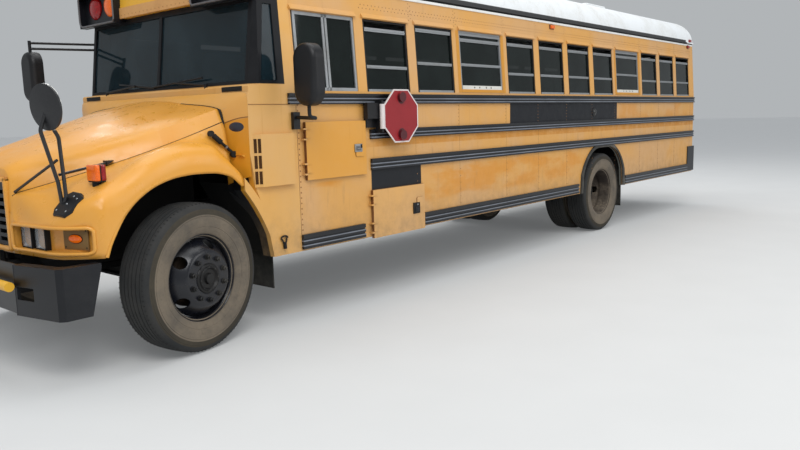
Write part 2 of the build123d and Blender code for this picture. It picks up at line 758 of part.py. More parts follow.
# The middle of the cowl stands as high as the rear edge of the hood
hood_rear_section = [(0, 1754), (550, 1714), (985, 1660), (1004, 1560), (1004, 1300)]
hood_rear_section = hood_rear_section + [(-x, z) for x, z in reversed(hood_rear_section[1:])]
cowl = cowl_body(0) & along_x(cowl_top, -half_width - 10, half_width + 10)
cowl += along_y(hood_rear_section, cowl_y, ledge_y + 40)
cowl -= cowl_body(wall) & along_x([(y + wall, z - wall - 4) for y, z in cowl_top], -1300, 1300)
cowl -= block(-inner_x, inner_x, along(windshield_y + 40), pillar_rear_y + 60, 300, ledge_z + 60)
cowl -= block(-cowl_corner_x, cowl_corner_x, along(0), along(windshield_y + 40), 300, 1300)
cowl -= both_sides(front_arch(front_arch_inner_x, half_width + 20))
cowl += along_x([(cowl_y + 10, 1340), (cowl_y + wall + 10, 1340), (floor_front_y - seat_gap, floor_z),
                 (floor_front_y - seat_gap, floor_z - floor_thickness)], -inner_x, inner_x)
# Rear half of the front arch: a raised flare on the cowl
flare = front_arch(flare_inner_x, half_width + 3, flare_band) - front_arch(flare_inner_x - 10, half_width + 20)
flare = flare & block(0, half_width + 20, along(hood_rear + 8), along(700), skirt_z, 1600)
cowl += both_sides(flare)
# Louvre boxes of the air intakes on the cowl sides
louvre = along_z([(half_width - 5, along(452)), (half_width, along(450)), (half_width + 40, along(500)),
                  (half_width + 40, along(812)), (half_width, along(828)), (half_width - 5, along(828))], 1100, 1484)
cowl += both_sides(louvre)
cap = cowl + upper
# Openings of the main panes and the quarter panes
for side in (-1, 1):
    cap -= block(side * mullion_half, side * (corner_post_x - 38), along(windshield_y - 100),
                 along(windshield_y + 240), windshield_foot_z + 26, windshield_top_z)
quarter_cut = side_prism(quarter_pane, half_width - 130, half_width + 20)
cap -= both_sides(quarter_cut)
header_y = along(windshield_y + windshield_rake)
sign_half = 560
nodes["front_cap"] = cap

# Header board between the roof and the windshield, with the blank sign
header = along_x([(header_y - 56, windshield_top_z - 36), (header_y - 46, windshield_top_z - 36),
                  (header_y - 46, windshield_top_z + 6), (header_y + 20, windshield_top_z + 26),
                  (header_y + 20, header_top_z - 30), (header_y - 34, header_top_z - 40),
                  (header_y - 46, windshield_top_z + 30)],
                 -sign_half, sign_half)
pod_end = 1172
visor = (46, 9)
pods = []
for side in (-1, 1):
    pod = along_x([(header_y - 60, windshield_top_z + 8), (header_y + 24, windshield_top_z + 26),
                   (header_y + 24, header_top_z - 60), (header_y - 42, header_top_z - 76)],
                  side * (sign_half + 4), side * pod_end)
    hood_face = block(side * (sign_half + 4), side * pod_end, header_y - 60 - visor[0], header_y - 40,
                      windshield_top_z + 10, header_top_z - 72)
    hood_hole = block(side * (sign_half + 4 + visor[1]), side * (pod_end - visor[1]), header_y - 200, header_y,
                      windshield_top_z + 10 + visor[1], header_top_z - 72 - visor[1])
    pod += hood_face - hood_hole
    for x in (side * 700, side * 960):
        pod -= bar(x, header_y - 50, 2610, "y", 96, 60)
    pods.append(pod)
cut_y = header_y + wall
front_body = roof_body(-seat_gap) + cap_loft(-seat_gap)
front_zone = block(-1300, 1300, header_y - 200, cut_y, 2300, 3000)
nodes["header_sign"] = (header - front_body) & front_zone
housings = [(pod - front_body) & front_zone for pod in pods]

# Rear wall
end_points = [(half_width, skirt_z), (half_width, sill_z), (eave_x, eave_z - seat_gap)]
end_points = end_points + [(-x, z) for x, z in reversed(end_points)]
rear_wall = along_y(end_points, wall_rear_y, body_rear_y)
rear_wall -= block(-rear_door_half, rear_door_half, wall_rear_y - 10, body_rear_y + 10, rear_door_foot_z,
                   rear_door_top_z)
for side in (-1, 1):
    rear_wall -= block(side * 610, side * 1030, wall_rear_y - 10, body_rear_y + 10, sill_z, window_top_z)
nodes["rear_wall"] = rear_wall

# Glass
glass = []
frames = []
sash_split_z = (sill_z + window_top_z) / 2 + 10


def sash(y0, y1, bars):
    """Aluminium window frame with its cross bars."""
    outer = wall_slab(y0 + seat_gap, y1 - seat_gap, sill_z + seat_gap, window_top_z - seat_gap, 6, 6 + sash_depth)
    outer -= wall_slab(y0 + sash_bar, y1 - sash_bar, sill_z + sash_bar, window_top_z - sash_bar, -10, 60)
    for z in bars:
        outer += wall_slab(y0 + 1, y1 - 1, z - 12, z + 12, 6, 6 + sash_depth)
    return outer


for y0, y1, is_exit in spans:
    frame_part = sash(y0, y1, (sash_split_z,))
    low = wall_slab(y0 + sash_bar + seat_gap, y1 - sash_bar - seat_gap, sill_z + sash_bar + seat_gap,
                    sash_split_z - 12 - seat_gap, 14, 14 + pane_thickness)
    high = wall_slab(y0 + sash_bar + seat_gap, y1 - sash_bar - seat_gap, sash_split_z + 12 + seat_gap,
                     window_top_z - sash_bar - seat_gap, 20, 20 + pane_thickness)
    frames += [frame_part, mirrored(frame_part)]
    glass += [low, high, mirrored(low), mirrored(high)]
driver_frame = sash(driver_span[0] + 20, driver_span[1], ())
split_y = driver_span[0] + driver_window_width * 0.6
driver_frame += wall_slab(split_y - 14, split_y + 14, sill_z + 10, window_top_z - 10, 6, 6 + sash_depth)
frames.append(driver_frame)
glass.append(wall_slab(driver_span[0] + 20 + sash_bar + seat_gap, split_y - 14 - seat_gap,
                       sill_z + sash_bar + seat_gap, window_top_z - sash_bar - seat_gap, 14, 14 + pane_thickness))
glass.append(wall_slab(split_y + 14 + seat_gap, driver_span[1] - sash_bar - seat_gap, sill_z + sash_bar + seat_gap,
                       window_top_z - sash_bar - seat_gap, 18, 18 + pane_thickness))
for side in (-1, 1):
    glass.append(block(side * (610 + seat_gap), side * (1030 - seat_gap), body_rear_y - 24, body_rear_y - 16,
                       sill_z + seat_gap, window_top_z - seat_gap))
nodes["window_frames"] = Compound(children=frames)
nodes["window_glass"] = Compound(children=glass)

# Windshield: the panes fill the cuts of the surround
shell_glass = cap_loft(12) - cap_loft(12 + pane_thickness)
panes = []
for side in (-1, 1):
    main = block(side * (mullion_half + seat_gap), side * (corner_post_x - 38 - seat_gap), along(windshield_y - 100),
                 along(windshield_y + 240), windshield_foot_z + 26 + seat_gap, windshield_top_z - seat_gap)
    panes.append(shell_glass & main)
quarter = wall_slab(along(540), along(740), 1870, 2436, 12, 12 + pane_thickness)
quarter = quarter & side_prism(quarter_pane, half_width - 130, half_width + 20, seat_gap)
panes += [quarter, mirrored(quarter)]
nodes["windshield"] = Compound(children=panes)

# Rub rails with ribs along both sides
def rub_rail(y0, y1, z0, z1):
    """A ribbed rail pressed against the side."""
    rail = wall_slab(y0, y1, z0, z1, -rail_depth, -seat_gap)
    pitch = (z1 - z0) / rail_rib_count
    for number in range(rail_rib_count - 1):
        z = z0 + pitch * (number + 1)
        rail -= wall_slab(y0 - 1, y1 + 1, z - 7, z + 7, -rail_depth - 5, -rail_depth + rail_groove)
    return rail


rail_stop_y = body_rear_y - 12
rub = []
skirt_row, floor_row, belt_row, sill_row = rub_rail_rows
arch_front_y = arch_y - rear_arch_half_width - 105
arch_rear_y = arch_y + rear_arch_half_width + flare_width + 6
bumper_wrap = 250
for name, z0, z1, start in rub_rail_rows:
    if name != "skirt":
        rub.append(rub_rail(along(start), rail_stop_y, z0, z1))
rub.append(rub_rail(along(skirt_row[3]), along(battery_door[0]) - 100, skirt_row[1], skirt_row[2]))
rub.append(rub_rail(along(battery_door[1]) + 12, arch_front_y, skirt_row[1], skirt_row[2]))
rub.append(rub_rail(arch_rear_y, body_rear_y - bumper_wrap - 12, skirt_row[1], skirt_row[2]))
right_rub = [mirrored(rub_rail(along(entry_rear) + 90, rail_stop_y, row[1], row[2])) for row in rub_rail_rows[1:]]
right_rub.append(mirrored(rub_rail(along(entry_rear) + 90, arch_front_y, skirt_row[1], skirt_row[2])))
right_rub.append(mirrored(rub_rail(arch_rear_y, body_rear_y - bumper_wrap - 12, skirt_row[1], skirt_row[2])))
nodes["rub_rails"] = Compound(children=rub + right_rub)

# Flared rims of the rear wheel arches
flare = arch_prism(rear_arch_half_width, rear_arch_top_z, arch_y, half_width + seat_gap, half_width + flare_depth,
                   flare_width)
flare -= arch_prism(rear_arch_half_width, rear_arch_top_z, arch_y, half_width - 10, half_width + 60)
flare = flare & block(half_width - 10, half_width + 60, arch_y - 1000, arch_y + 1000, skirt_z, floor_row[1] - 2)
nodes["arch_flares"] = Compound(children=[flare, mirrored(flare)])


# Hood: the raised upper form and the fenders in one shell
def hood_dome(inset):
    """The upper hood as a ruled loft through its stations."""
    sections = []
    for distance, crest_z, crease_x, crease_z, shoulder_x_, shoulder_z_, seam_x, seam_z in hood_stations:
        y = along(distance) + (inset if distance == hood_stations[0][0] else 0)
        y += inset if distance == hood_stations[-1][0] else 0
        foot = hood_foot_z - (100 if inset else 0)
        half = [
            (0, crest_z - inset), (crease_x - inset * 0.3, crease_z - inset),
            (shoulder_x_ - inset * 0.8, shoulder_z_ - inset * 0.8), (seam_x - inset, seam_z), (seam_x - inset, foot),
        ]
        points = half + [(-x, z) for x, z in reversed(half[1:])]
        sections.append(make_face(Polyline(*[(x, y, z) for x, z in points], close=True)))
    return loft(sections, ruled=True)


def hood_fenders(inset):
    """Nose and fenders: the plan outline cut by the crown line."""
    z0 = hood_foot_z - (100 if inset else 0)
    left = [Vector(x, along(-y) + inset, z0) for x, y in nose_plan]
    mid = Vector(nose_corner_mid[0] - inset * 0.7, along(-nose_corner_mid[1]) + inset * 0.7, z0)
    end = Vector(nose_corner_end[0] - inset, along(-nose_corner_end[1]) + inset * 0.3, z0)
    side_front = Vector(fender_x - inset, along(-330), z0)
    side_rear = Vector(fender_x - inset, along(hood_rear + 10) + inset, z0)

    def flip(v):
        return Vector(-v.X, v.Y, v.Z)

    outline = [
        Line(left[0], left[1]), Line(left[1], left[2]), ThreePointArc(left[2], mid, end),
        Line(end, side_front), Line(side_front, side_rear), Line(side_rear, flip(side_rear)),
        Line(flip(side_rear), flip(side_front)), Line(flip(side_front), flip(end)),
        ThreePointArc(flip(end), flip(mid), flip(left[2])), Line(flip(left[2]), flip(left[1])),
        Line(flip(left[1]), left[0]),
    ]
    plan = extrude(make_face(outline), amount=800, dir=(0, 0, 1))
    crown = [(along(y), z - inset) for y, z in fender_crown]
    crown[0] = (crown[0][0] - 40, crown[0][1])
    crown[-1] = (crown[-1][0] + inset + 4, crown[-1][1] - 4)
    profile = crown + [(crown[-1][0], z0 - 200), (crown[0][0], z0 - 200)]
    side = along_x(profile, -fender_x - 10, fender_x + 10)
    return plan & side


shell = hood_dome(0) + hood_fenders(0)
hollow = hood_dome(hood_skin) + hood_fenders(hood_skin)
hollow += block(-930, 930, along(-300), along(hood_rear) + 60, 400, 1060)
hood = shell - hollow
arch_space = both_sides(front_arch(front_arch_inner_x, half_width + 20))
hood -= arch_space
hood -= block(-1300, 1300, along(-330), along(hood_rear) + 400, 300, hood_foot_z + 120) & block(
    -900, 900, along(-330), along(hood_rear) + 400, 300, 1400)
hood -= block(-1300, 1300, along(hood_rear), along(hood_rear) + 400, 300, 2000)
hood -= block(-grille_half_width, grille_half_width, along(-1040), along(-hood_nose_y + 80), grille_bottom_z,
              grille_top_z)
lamp_cut = block(lamp_recess_x[0], lamp_recess_x[1], along(-1040), along(-640), lamp_recess_z[0], lamp_recess_z[1])
hood -= both_sides(lamp_cut)
hood -= both_sides(block(hood_hinge_x - 60, hood_hinge_x - 2, along(-hood_nose_y - 20), along(-hood_hinge_y) + 40,
                         hood_foot_z - 10, grille_bottom_z - 8))
hinge_ear = block(hood_hinge_x + 20, hood_hinge_x + 34, along(-hood_nose_y + 8), along(-hood_hinge_y) + 16,
                  hood_hinge_z - 22, grille_bottom_z - 2)
hinge_ear -= bar(hood_hinge_x, along(-hood_hinge_y), hood_hinge_z, "x", hood_hinge_radius + 0.5, 200)
hood += both_sides(hinge_ear)
# Liners beside the engine close the wheel arches from inside
liner = block(liner_x, liner_x + liner_metal, along(-880), along(hood_rear - 4), liner_foot_z, 1700)
hood += both_sides(liner & (hood_dome(hood_skin / 2) + hood_fenders(hood_skin / 2) + block(
    0, half_width, along(-880), along(hood_rear), liner_foot_z, hood_foot_z + 200)))

# Grille: a frame with cross bars and uprights
grille_y = along(-hood_nose_y) + 22
grille = block(-grille_half_width + seat_gap, grille_half_width - seat_gap, grille_y, grille_y + grille_depth,
               grille_bottom_z + seat_gap, grille_top_z - seat_gap)
opening_pitch = (grille_top_z - grille_bottom_z - 60) / grille_bar_count
for row in range(grille_bar_count):
    z0 = grille_bottom_z + 34 + row * opening_pitch
    for column in range(-3, 3):
        x0 = column * 132 + 12
        grille -= block(x0, x0 + 108, grille_y - 1, grille_y + grille_depth + 1, z0,
                        z0 + opening_pitch - grille_bar_height)
nodes["grille"] = grille

# Lamp plates behind the recesses in the nose, with the headlamps and the turn signals
lenses = []
signals = []
for side in (-1, 1):
    front_line = [(side * x, along(y)) for x, y in lamp_plate]
    back_line = [(x, y + lamp_plate_metal) for x, y in front_line]
    plate = along_z(front_line + back_line[::-1], lamp_recess_z[0] - 3, lamp_recess_z[1] + 3)
    sill = block(side * (lamp_recess_x[0] - 11), side * (lamp_recess_x[1] + 11), along(-1040), along(-640),
                 lamp_recess_z[0] - 8, lamp_recess_z[1] + 8)
    sill -= block(side * lamp_recess_x[0], side * lamp_recess_x[1], along(-1050), along(-630), *lamp_recess_z)
    skin_line = [(side * x, along(y)) for x, y in ((489, -958), (650, -934), (900, -888), (1090, -836), (1176, -744))]
    sill = sill & along_z(skin_line + back_line[::-1], lamp_recess_z[0] - 8, lamp_recess_z[1] + 8)
    hood += plate + sill
    for x in headlamp_x:
        slope = 0.1
        lens = rounded(block(side * (x - 74), side * (x + 74), along(-934 + (x - 500) * slope),
                             along(-904 + (x - 500) * slope), headlamp_z - 52, headlamp_z + 52), Axis.Y, 10)
        lenses.append(lens - plate)
    turn = Pos(side * turn_lamp_x, along(-838), headlamp_z) * Rot(0, 0, side * 17.8) * Box(118, 24, 52)
    signals.append(rounded(turn, Axis.Z, 4) - plate)
nodes["hood_shell"] = hood
nodes["headlamps"] = Compound(children=lenses)

# Front bumper: a bowed channel with wrapped ends and a recess for the crossing arm
def bumper_plan(inset):
    f = bumper_front - inset
    half = [
        (0, along(-f)), (bumper_recess_half - 20, along(-f + 8)),
        (bumper_half_width - 30 - inset, along(-1034 + inset)),
        (bumper_half_width - inset, along(-1000 + inset)), (bumper_half_width - inset, along(-bumper_end + 40)),
    ]
    return half + [(-x, y) for x, y in reversed(half[1:])]


bumper = along_z(bumper_plan(0), bumper_bottom_z, bumper_top_z)
bumper -= along_z([(x, y + (200 if abs(x) > 1200 else 0)) for x, y in bumper_plan(bumper_metal)],
                  bumper_bottom_z - 10, bumper_top_z + 10)
end_cut = along_x([(along(-bumper_end) + 50, bumper_top_z + 10), (along(-bumper_end) + 120, bumper_top_z + 10),
                   (along(-bumper_end) + 120, bumper_bottom_z - 10), (along(-bumper_end) - 40, bumper_bottom_z - 10)],
                  -1300, 1300)
bumper -= end_cut
lip = along_z(bumper_plan(0), bumper_top_z - bumper_metal, bumper_top_z)
lip -= along_z([(x * 0.94, y + 60) for x, y in bumper_plan(0)], bumper_bottom_z, bumper_top_z + 10)
bumper += lip - end_cut - block(-bumper_recess_half, bumper_recess_half, along(-1200), along(-900), 0, 1000)
recess = block(-bumper_recess_half, bumper_recess_half, along(-bumper_front - 10), along(-bumper_front + bumper_recess),
               bumper_bottom_z - 10, bumper_top_z + 10)
bumper -= recess
plate = block(-bumper_recess_half - bumper_metal, bumper_recess_half + bumper_metal,
              along(-bumper_front + bumper_recess), along(-bumper_front + bumper_recess + bumper_metal),
              bumper_bottom_z, bumper_top_z)
bumper += plate
for side in (-1, 1):
    bumper += block(side * bumper_recess_half, side * (bumper_recess_half + bumper_metal), along(-bumper_front + 12),
                    along(-bumper_front + bumper_recess + bumper_metal), bumper_bottom_z, bumper_top_z)
    bumper -= block(side * (tow_hole_x - tow_hole_size[0] / 2), side * (tow_hole_x + tow_hole_size[0] / 2),
                    along(-1200), along(-950), tow_hole_z, tow_hole_z + tow_hole_size[1])
nodes["front_bumper"] = bumper

# Rear bumper
rear_y = body_rear_y + rear_bumper_depth
outer = [(0, rear_y), (1120, rear_y), (half_width + 14, rear_y - 60), (half_width + 14, body_rear_y - bumper_wrap)]
inner = [(0, rear_y - 10), (1112, rear_y - 10), (half_width + 4, rear_y - 66),
         (half_width + 4, body_rear_y - bumper_wrap - 10)]
rear_bumper = along_z(outer + [(-x, y) for x, y in reversed(outer[1:])], rear_bumper_z[0], rear_bumper_z[1])
rear_bumper -= along_z(inner + [(-x, y) for x, y in reversed(inner[1:])], rear_bumper_z[0] - 5, rear_bumper_z[1] + 5)
shelf = along_z(outer + [(-x, y) for x, y in reversed(outer[1:])], rear_bumper_z[1] - 8, rear_bumper_z[1])
shelf -= block(-half_width - seat_gap, half_width + seat_gap, body_rear_y - 400, body_rear_y + seat_gap, 0, 2000)
rear_bumper += shelf
for side in (-1, 1):
    rear_bumper += block(side * (rail_x - 22), side * rail_x, body_rear_y + seat_gap, rear_y - 5,
                         rear_bumper_z[0] + 60, rail_z[0] + 20)
nodes["rear_bumper"] = rear_bumper

# Entry door: two leaves that open outwards from the middle
entry_mid = (entry_front + entry_rear) / 2
leaf_windows = ((700, 1330), (1450, 2310))


def door_leaf(y0, y1):
    """A glazed door leaf on the left side, to be mirrored."""
    leaf = wall_slab(y0, y1, entry_foot_z + 10, entry_top_z - gap, 0, leaf_thickness)
    for z0, z1 in leaf_windows:
        leaf -= wall_slab(y0 + 60, y1 - 60, z0, z1, -10, leaf_thickness + 10)
    return leaf


def leaf_glass(y0, y1):
    shapes = []
    for z0, z1 in leaf_windows:
        shapes.append(wall_slab(y0 + 60 + seat_gap, y1 - 60 - seat_gap, z0 + seat_gap, z1 - seat_gap, 12, 18))
    return shapes


def hinged(leaf, x, y, rows, half, ear_plan, strap_plan):
    """A leaf with hinge sleeves at the rows, and its pins with their ears; plans are x0, x1, y0, y1."""
    for z in rows:
        leaf -= bar(x, y, z, "z", hinge_pin_radius + 1.5, 2 * half + 40)
    pins = []
    for z in rows:
        sleeve = bar(x, y, z, "z", hinge_sleeve_radius, 2 * half) + block(*strap_plan, z - half, z + half)
        leaf += sleeve - bar(x, y, z, "z", hinge_pin_radius + pin_clear, 2 * half + 10)
        pin = bar(x, y, z, "z", hinge_pin_radius, 2 * half + 32)
        for end in (-half - 10, half + 10):
            pin += block(*ear_plan, z + end - 6, z + end + 6)
        pins.append(pin)
    return leaf, pins


hinge_pin_radius = 5
hinge_sleeve_radius = 10
leaf_hinge_rows = (560, 1120, 1690)
front_leaf = (along(entry_front) + gap, along(entry_mid) - 3)
rear_leaf = (along(entry_mid) + 3, along(entry_rear) - gap)
hinge_pins = []
for word, span, hinge_y, inwards in (("front", front_leaf, front_leaf[0], 1), ("rear", rear_leaf, rear_leaf[1], -1)):
    hinge_x = half_width + 2 * gap
    leaf, pins = hinged(
        door_leaf(*span), hinge_x, hinge_y, leaf_hinge_rows, 42,
        (half_width + seat_gap, hinge_x + 6, hinge_y + inwards, hinge_y - 26 * inwards),
        (half_width - 10, hinge_x + 4, hinge_y + 5 * inwards, hinge_y + 46 * inwards))
    hinge_pins += [mirrored(pin) for pin in pins]
    nodes["door_" + word + "_leaf"] = mirrored(leaf)
    nodes["door_" + word + "_glass"] = Compound(children=[mirrored(g) for g in leaf_glass(*span)])

# Rear door with two windows
door_y0 = body_rear_y - 36
rear_door = block(-rear_door_half + gap, rear_door_half - gap, door_y0, body_rear_y,
                  rear_door_foot_z + gap, rear_door_top_z - gap)
rear_panes = ((1230, 1640), (1780, 2390))
rear_glass = []
for z0, z1 in rear_panes:
    rear_door -= block(-370, 370, door_y0 - 10, body_rear_y + 10, z0, z1)
    rear_glass.append(block(-370 + seat_gap, 370 - seat_gap, body_rear_y - 22, body_rear_y - 14, z0 + seat_gap, z1 - seat_gap))
rear_door += block(330, 450, body_rear_y, body_rear_y + 26, 1690, 1720)
rear_hinge_x = -rear_door_half + gap
rear_hinge_y = body_rear_y + 14
rear_door, pins = hinged(
    rear_door, rear_hinge_x, rear_hinge_y, (1330, 1800, 2270), 45,
    (rear_hinge_x - 46, rear_hinge_x + 1, body_rear_y + seat_gap, rear_hinge_y + 5),
    (rear_hinge_x + 5, rear_hinge_x + 60, body_rear_y - 4, rear_hinge_y + 5))
hinge_pins += pins
nodes["rear_door"] = rear_door
nodes["rear_door_glass"] = Compound(children=rear_glass)

# Battery door and access door, each with a paddle latch
def hatch_door(row, latch):
    """A shallow pan door on the left side, without its hinges."""
    y0, y1, z0, z1 = row
    door = block(half_width + seat_gap, half_width + door_proud, along(y0), along(y1), z0, z1)
    door -= block(half_width - 5, half_width + door_proud - 8, along(y0) + 12, along(y1) - 12, z0 + 12, z1 - 12)
    door += rounded(block(half_width + door_proud - 9, half_width + door_proud + 8, along(latch[0]) - 50,
                          along(latch[0]) + 50, latch[1] - 50, latch[1] + 50), Axis.X, 12)
    return door


for word, row, latch, rows in (("battery", battery_door, (2330, 800), (640, 880)),
                               ("access", access_door, (1540, 1318), (1200, 1470))):
    pan_x = half_width + door_proud + 6
    pan_y = along(row[0]) - 2
    pan, pins = hinged(
        hatch_door(row, latch), pan_x, pan_y, rows, 30,
        (half_width + seat_gap, pan_x + 5, pan_y - 30, pan_y - 1),
        (half_width + door_proud - 4, pan_x + 4, pan_y + 5, pan_y + 44))
    hinge_pins += pins
    nodes[word + "_door"] = pan
nodes["door_hinges"] = Compound(children=hinge_pins)

# Boxes of the stop arm and the crossing arm
stop_y = along(stop_hinge_y)
stop_x = half_width + stop_offset
box = block(half_width + rail_depth + 4, stop_x - 22, stop_y - 172, stop_y + 66, 1575, 1706)
box += block(half_width + seat_gap, half_width + rail_depth + 6, stop_y - 146, stop_y + 56, 1500, 1690)
for z in (stop_z - 120, stop_z + 120):
    box += block(half_width + rail_depth + 4, stop_x - 12, stop_y - 30, stop_y - 4, z - 16, z + 16)
    box += bar(stop_x, stop_y - 16, z, "z", 12, 28)
box += block(half_width + rail_depth + 4, stop_x - 22, stop_y - 30, stop_y - 4, stop_z - 130, stop_z + 130)
arm_y = along(-bumper_front - arm_radius)
arm_box = block(arm_hinge_x - 12, arm_hinge_x + 180, along(-bumper_front) + 6,
                along(-bumper_front + bumper_recess) - seat_gap, arm_z - 90, arm_z + 70)
arm_post = bar(arm_hinge_x, arm_y, arm_z, "z", 9, 104)
arm_post += block(arm_hinge_x - 12, arm_hinge_x + 12, arm_y, along(-bumper_front + 12), arm_z - 52, arm_z - 42)
arm_post += block(arm_hinge_x - 12, arm_hinge_x + 12, arm_y, along(-bumper_front + 12), arm_z + 42, arm_z + 52)
nodes["arm_boxes"] = Compound(children=[box, arm_box + arm_post])

# Stop sign: an octagon blade with its hinge knuckle and a lamp above and below the middle
sign_y = stop_y + stop_width / 2 + 6
octagon = Plane(origin=(stop_x - stop_thickness / 2, sign_y, stop_z), z_dir=(1, 0, 0)) * RegularPolygon(
    stop_width / 2, 8, major_radius=False, rotation=22.5)
sign = extrude(octagon, amount=stop_thickness)
for z in (stop_z - 164, stop_z + 164):
    sign += bar(stop_x, sign_y, z, "x", 44, 54)
knuckle_sleeve = bar(stop_x, stop_y - 16, stop_z, "z", 20, 208)
knuckle_sleeve -= bar(stop_x, stop_y - 16, stop_z, "z", 12.5, 300)
sign += knuckle_sleeve + block(stop_x - 4, stop_x + 4, stop_y - 2, stop_y + 30, stop_z - 100, stop_z + 100)
nodes["stop_sign"] = sign

# Crossing arm: a round tube with a hinge eye
arm_start = arm_hinge_x + 34
arm = bar((arm_start + arm_tip_x) / 2, arm_y, arm_z, "x", arm_radius, arm_tip_x - arm_start)
eye = bar(arm_hinge_x, arm_y, arm_z, "z", 22, 76)
eye += block(arm_hinge_x + 8, arm_start + 10, arm_y - 12, arm_y + 12, arm_z - 18, arm_z + 18)
eye -= bar(arm_hinge_x, arm_y, arm_z, "z", 9.5, 200)
nodes["crossing_arm"] = arm + eye

# Side mirrors on their arms
head_x = mirror_reach - mirror_width / 2


def mirror_head(x, y, z):
    head = block(x - mirror_width / 2, x + mirror_width / 2, y - mirror_depth / 2, y + mirror_depth / 2,
                 z - mirror_height / 2, z + mirror_height / 2)
    head = fillet(head.edges().filter_by(Axis.Y), 112)
    return fillet(head.faces().sort_by(Axis.Y)[0].edges(), 44)


left_z = 1905
left_y = along(775)
left_mirror = mirror_head(head_x, left_y, left_z)
left_mirror += tube([(half_width + 20, along(860), 1600), (head_x, along(845), 1590), (head_x, left_y, 1600),
                     (head_x, left_y, left_z - 200)], 14, [26, 30])
left_mirror += block(half_width + seat_gap, half_width + 30, along(826), along(892), 1510, 1640)
right_z = 2030
right_y = along(110)
right_mirror = mirror_head(-head_x, right_y, right_z)
for z in (2285, 2335):
    right_mirror += tube([(-side_x(z) - 14, along(820), z), (-half_width - 110, along(590), z),
                          (-head_x, right_y, z)], tube_radius, 60)
right_mirror += bar(-head_x, right_y, 2295, "z", tube_radius + 3, 120)
right_mirror += mirrored(wall_slab(along(790), along(850), 2225, 2360, -26, -seat_gap))
nodes["side_mirrors"] = Compound(children=[left_mirror, right_mirror])

# Cross-view mirrors on tubes that stand on the fenders
def mirror_bowl(radius, back, front):
    """A thin dish about Z, domed on both faces."""
    outline = [
        Line((0, 0, -back), (0, 0, front)),
        ThreePointArc((0, 0, front), (radius * 0.62, 0, front * 0.7), (radius, 0, 7)),
        Line((radius, 0, 7), (radius, 0, -7)),
        ThreePointArc((radius, 0, -7), (radius * 0.62, 0, -back * 0.72), (0, 0, -back)),
    ]
    return revolve(make_face(outline), Axis.Z)


heart = ((-80, 62), (-52, 92), (-14, 74), (14, 74), (52, 92), (80, 62), (62, -30), (18, -100), (-18, -100), (-62, -30))
cross = []
for side in (-1, 1):
    foot = Vector(side * 925, along(-835), 1082)
    head = Vector(side * 960, along(-890), 1697)
    plate_foot = Plane(origin=foot, x_dir=(1, 0, 0), z_dir=(0, -0.72, 0.69))
    base = extrude(plate_foot * make_face(Polyline(*[(x, y, 0) for x, y in heart], close=True)), amount=-26)
    bowl = Plane(origin=head, z_dir=(side * -0.2, 0.97, 0.1)) * mirror_bowl(142, 16, 44)
    low = foot + Vector(side * 2, 6, -20)
    main_post = tube([low, foot + Vector(side * -4, -6, 150), head + Vector(side * -30, -34, -140),
                      head + Vector(side * -6, 6, 0)], 12, [60, 60])
    second_post = tube([foot + Vector(side * 30, 20, 60), foot + Vector(side * -20, 30, 430),
                        head + Vector(side * -20, 4, -60)], 12, [50])
    second_post += tube([low + Vector(side * 4, 0, 0), foot + Vector(side * 30, 20, 66)], 12, [])
    brace = tube([foot + Vector(side * -2, 4, 200), Vector(side * 790, along(-430), 1330)], 9, 10)
    brace2 = tube([foot + Vector(side * -6, 0, 290), Vector(side * 500, along(-935), 1165)], 9, 10)
    pad = block(side * 755, side * 815, along(-455), along(-405), 1305, 1345)
    cross.append((base + bowl + main_post + second_post + brace + brace2 + pad) - shell)
nodes["cross_mirrors"] = Compound(children=cross)

# Fender signal lamps
fender_lamps = []
for side in (-1, 1):
    lamp = rounded(block(side * 955, side * 1075, along(-672), along(-604), 1226, 1334), Axis.Z, 12)
    lamp += bar(side * 1015, along(-638), 1204, "z", 34, 60)
    fender_lamps.append(lamp - shell)
nodes["fender_lamps"] = Compound(children=fender_lamps + signals)

# Lamps on the coach: red and amber flashers, marker lamps, tail lamps
red = []
amber = []
for side in (-1, 1):
    red.append(bar(side * 960, header_y - 37.3, 2610, "y", 88, 34))
    amber.append(bar(side * 700, header_y - 37.3, 2610, "y", 88, 34))
    panel = block(side * 520, side * 1090, body_rear_y + seat_gap, body_rear_y + 20, 2470, 2640)
    housings.append(panel)
    red.append(bar(side * 980, body_rear_y + 20 + seat_gap + 13, 2555, "y", 78, 26))
    amber.append(bar(side * 640, body_rear_y + 20 + seat_gap + 13, 2555, "y", 78, 26))
    red.append(bar(side * 1060, body_rear_y + seat_gap + 14, 1620, "y", 88, 28))
    amber.append(bar(side * 860, body_rear_y + seat_gap + 14, 1620, "y", 88, 28))
    red.append(bar(side * 1060, body_rear_y + seat_gap + 14, 1330, "y", 50, 28))
    for distance, kind in ((1150, amber), (9560, red)):
        lamp = block(side * (side_x(2720) + 2), side * (side_x(2720) + 26), along(distance) - 40,
                     along(distance) + 40, 2672, 2712)
        kind.append(lamp - roof_body(-seat_gap))
nodes["red_lamps"] = Compound(children=red)
nodes["amber_lamps"] = Compound(children=amber)
nodes["lamp_housings"] = Compound(children=housings)

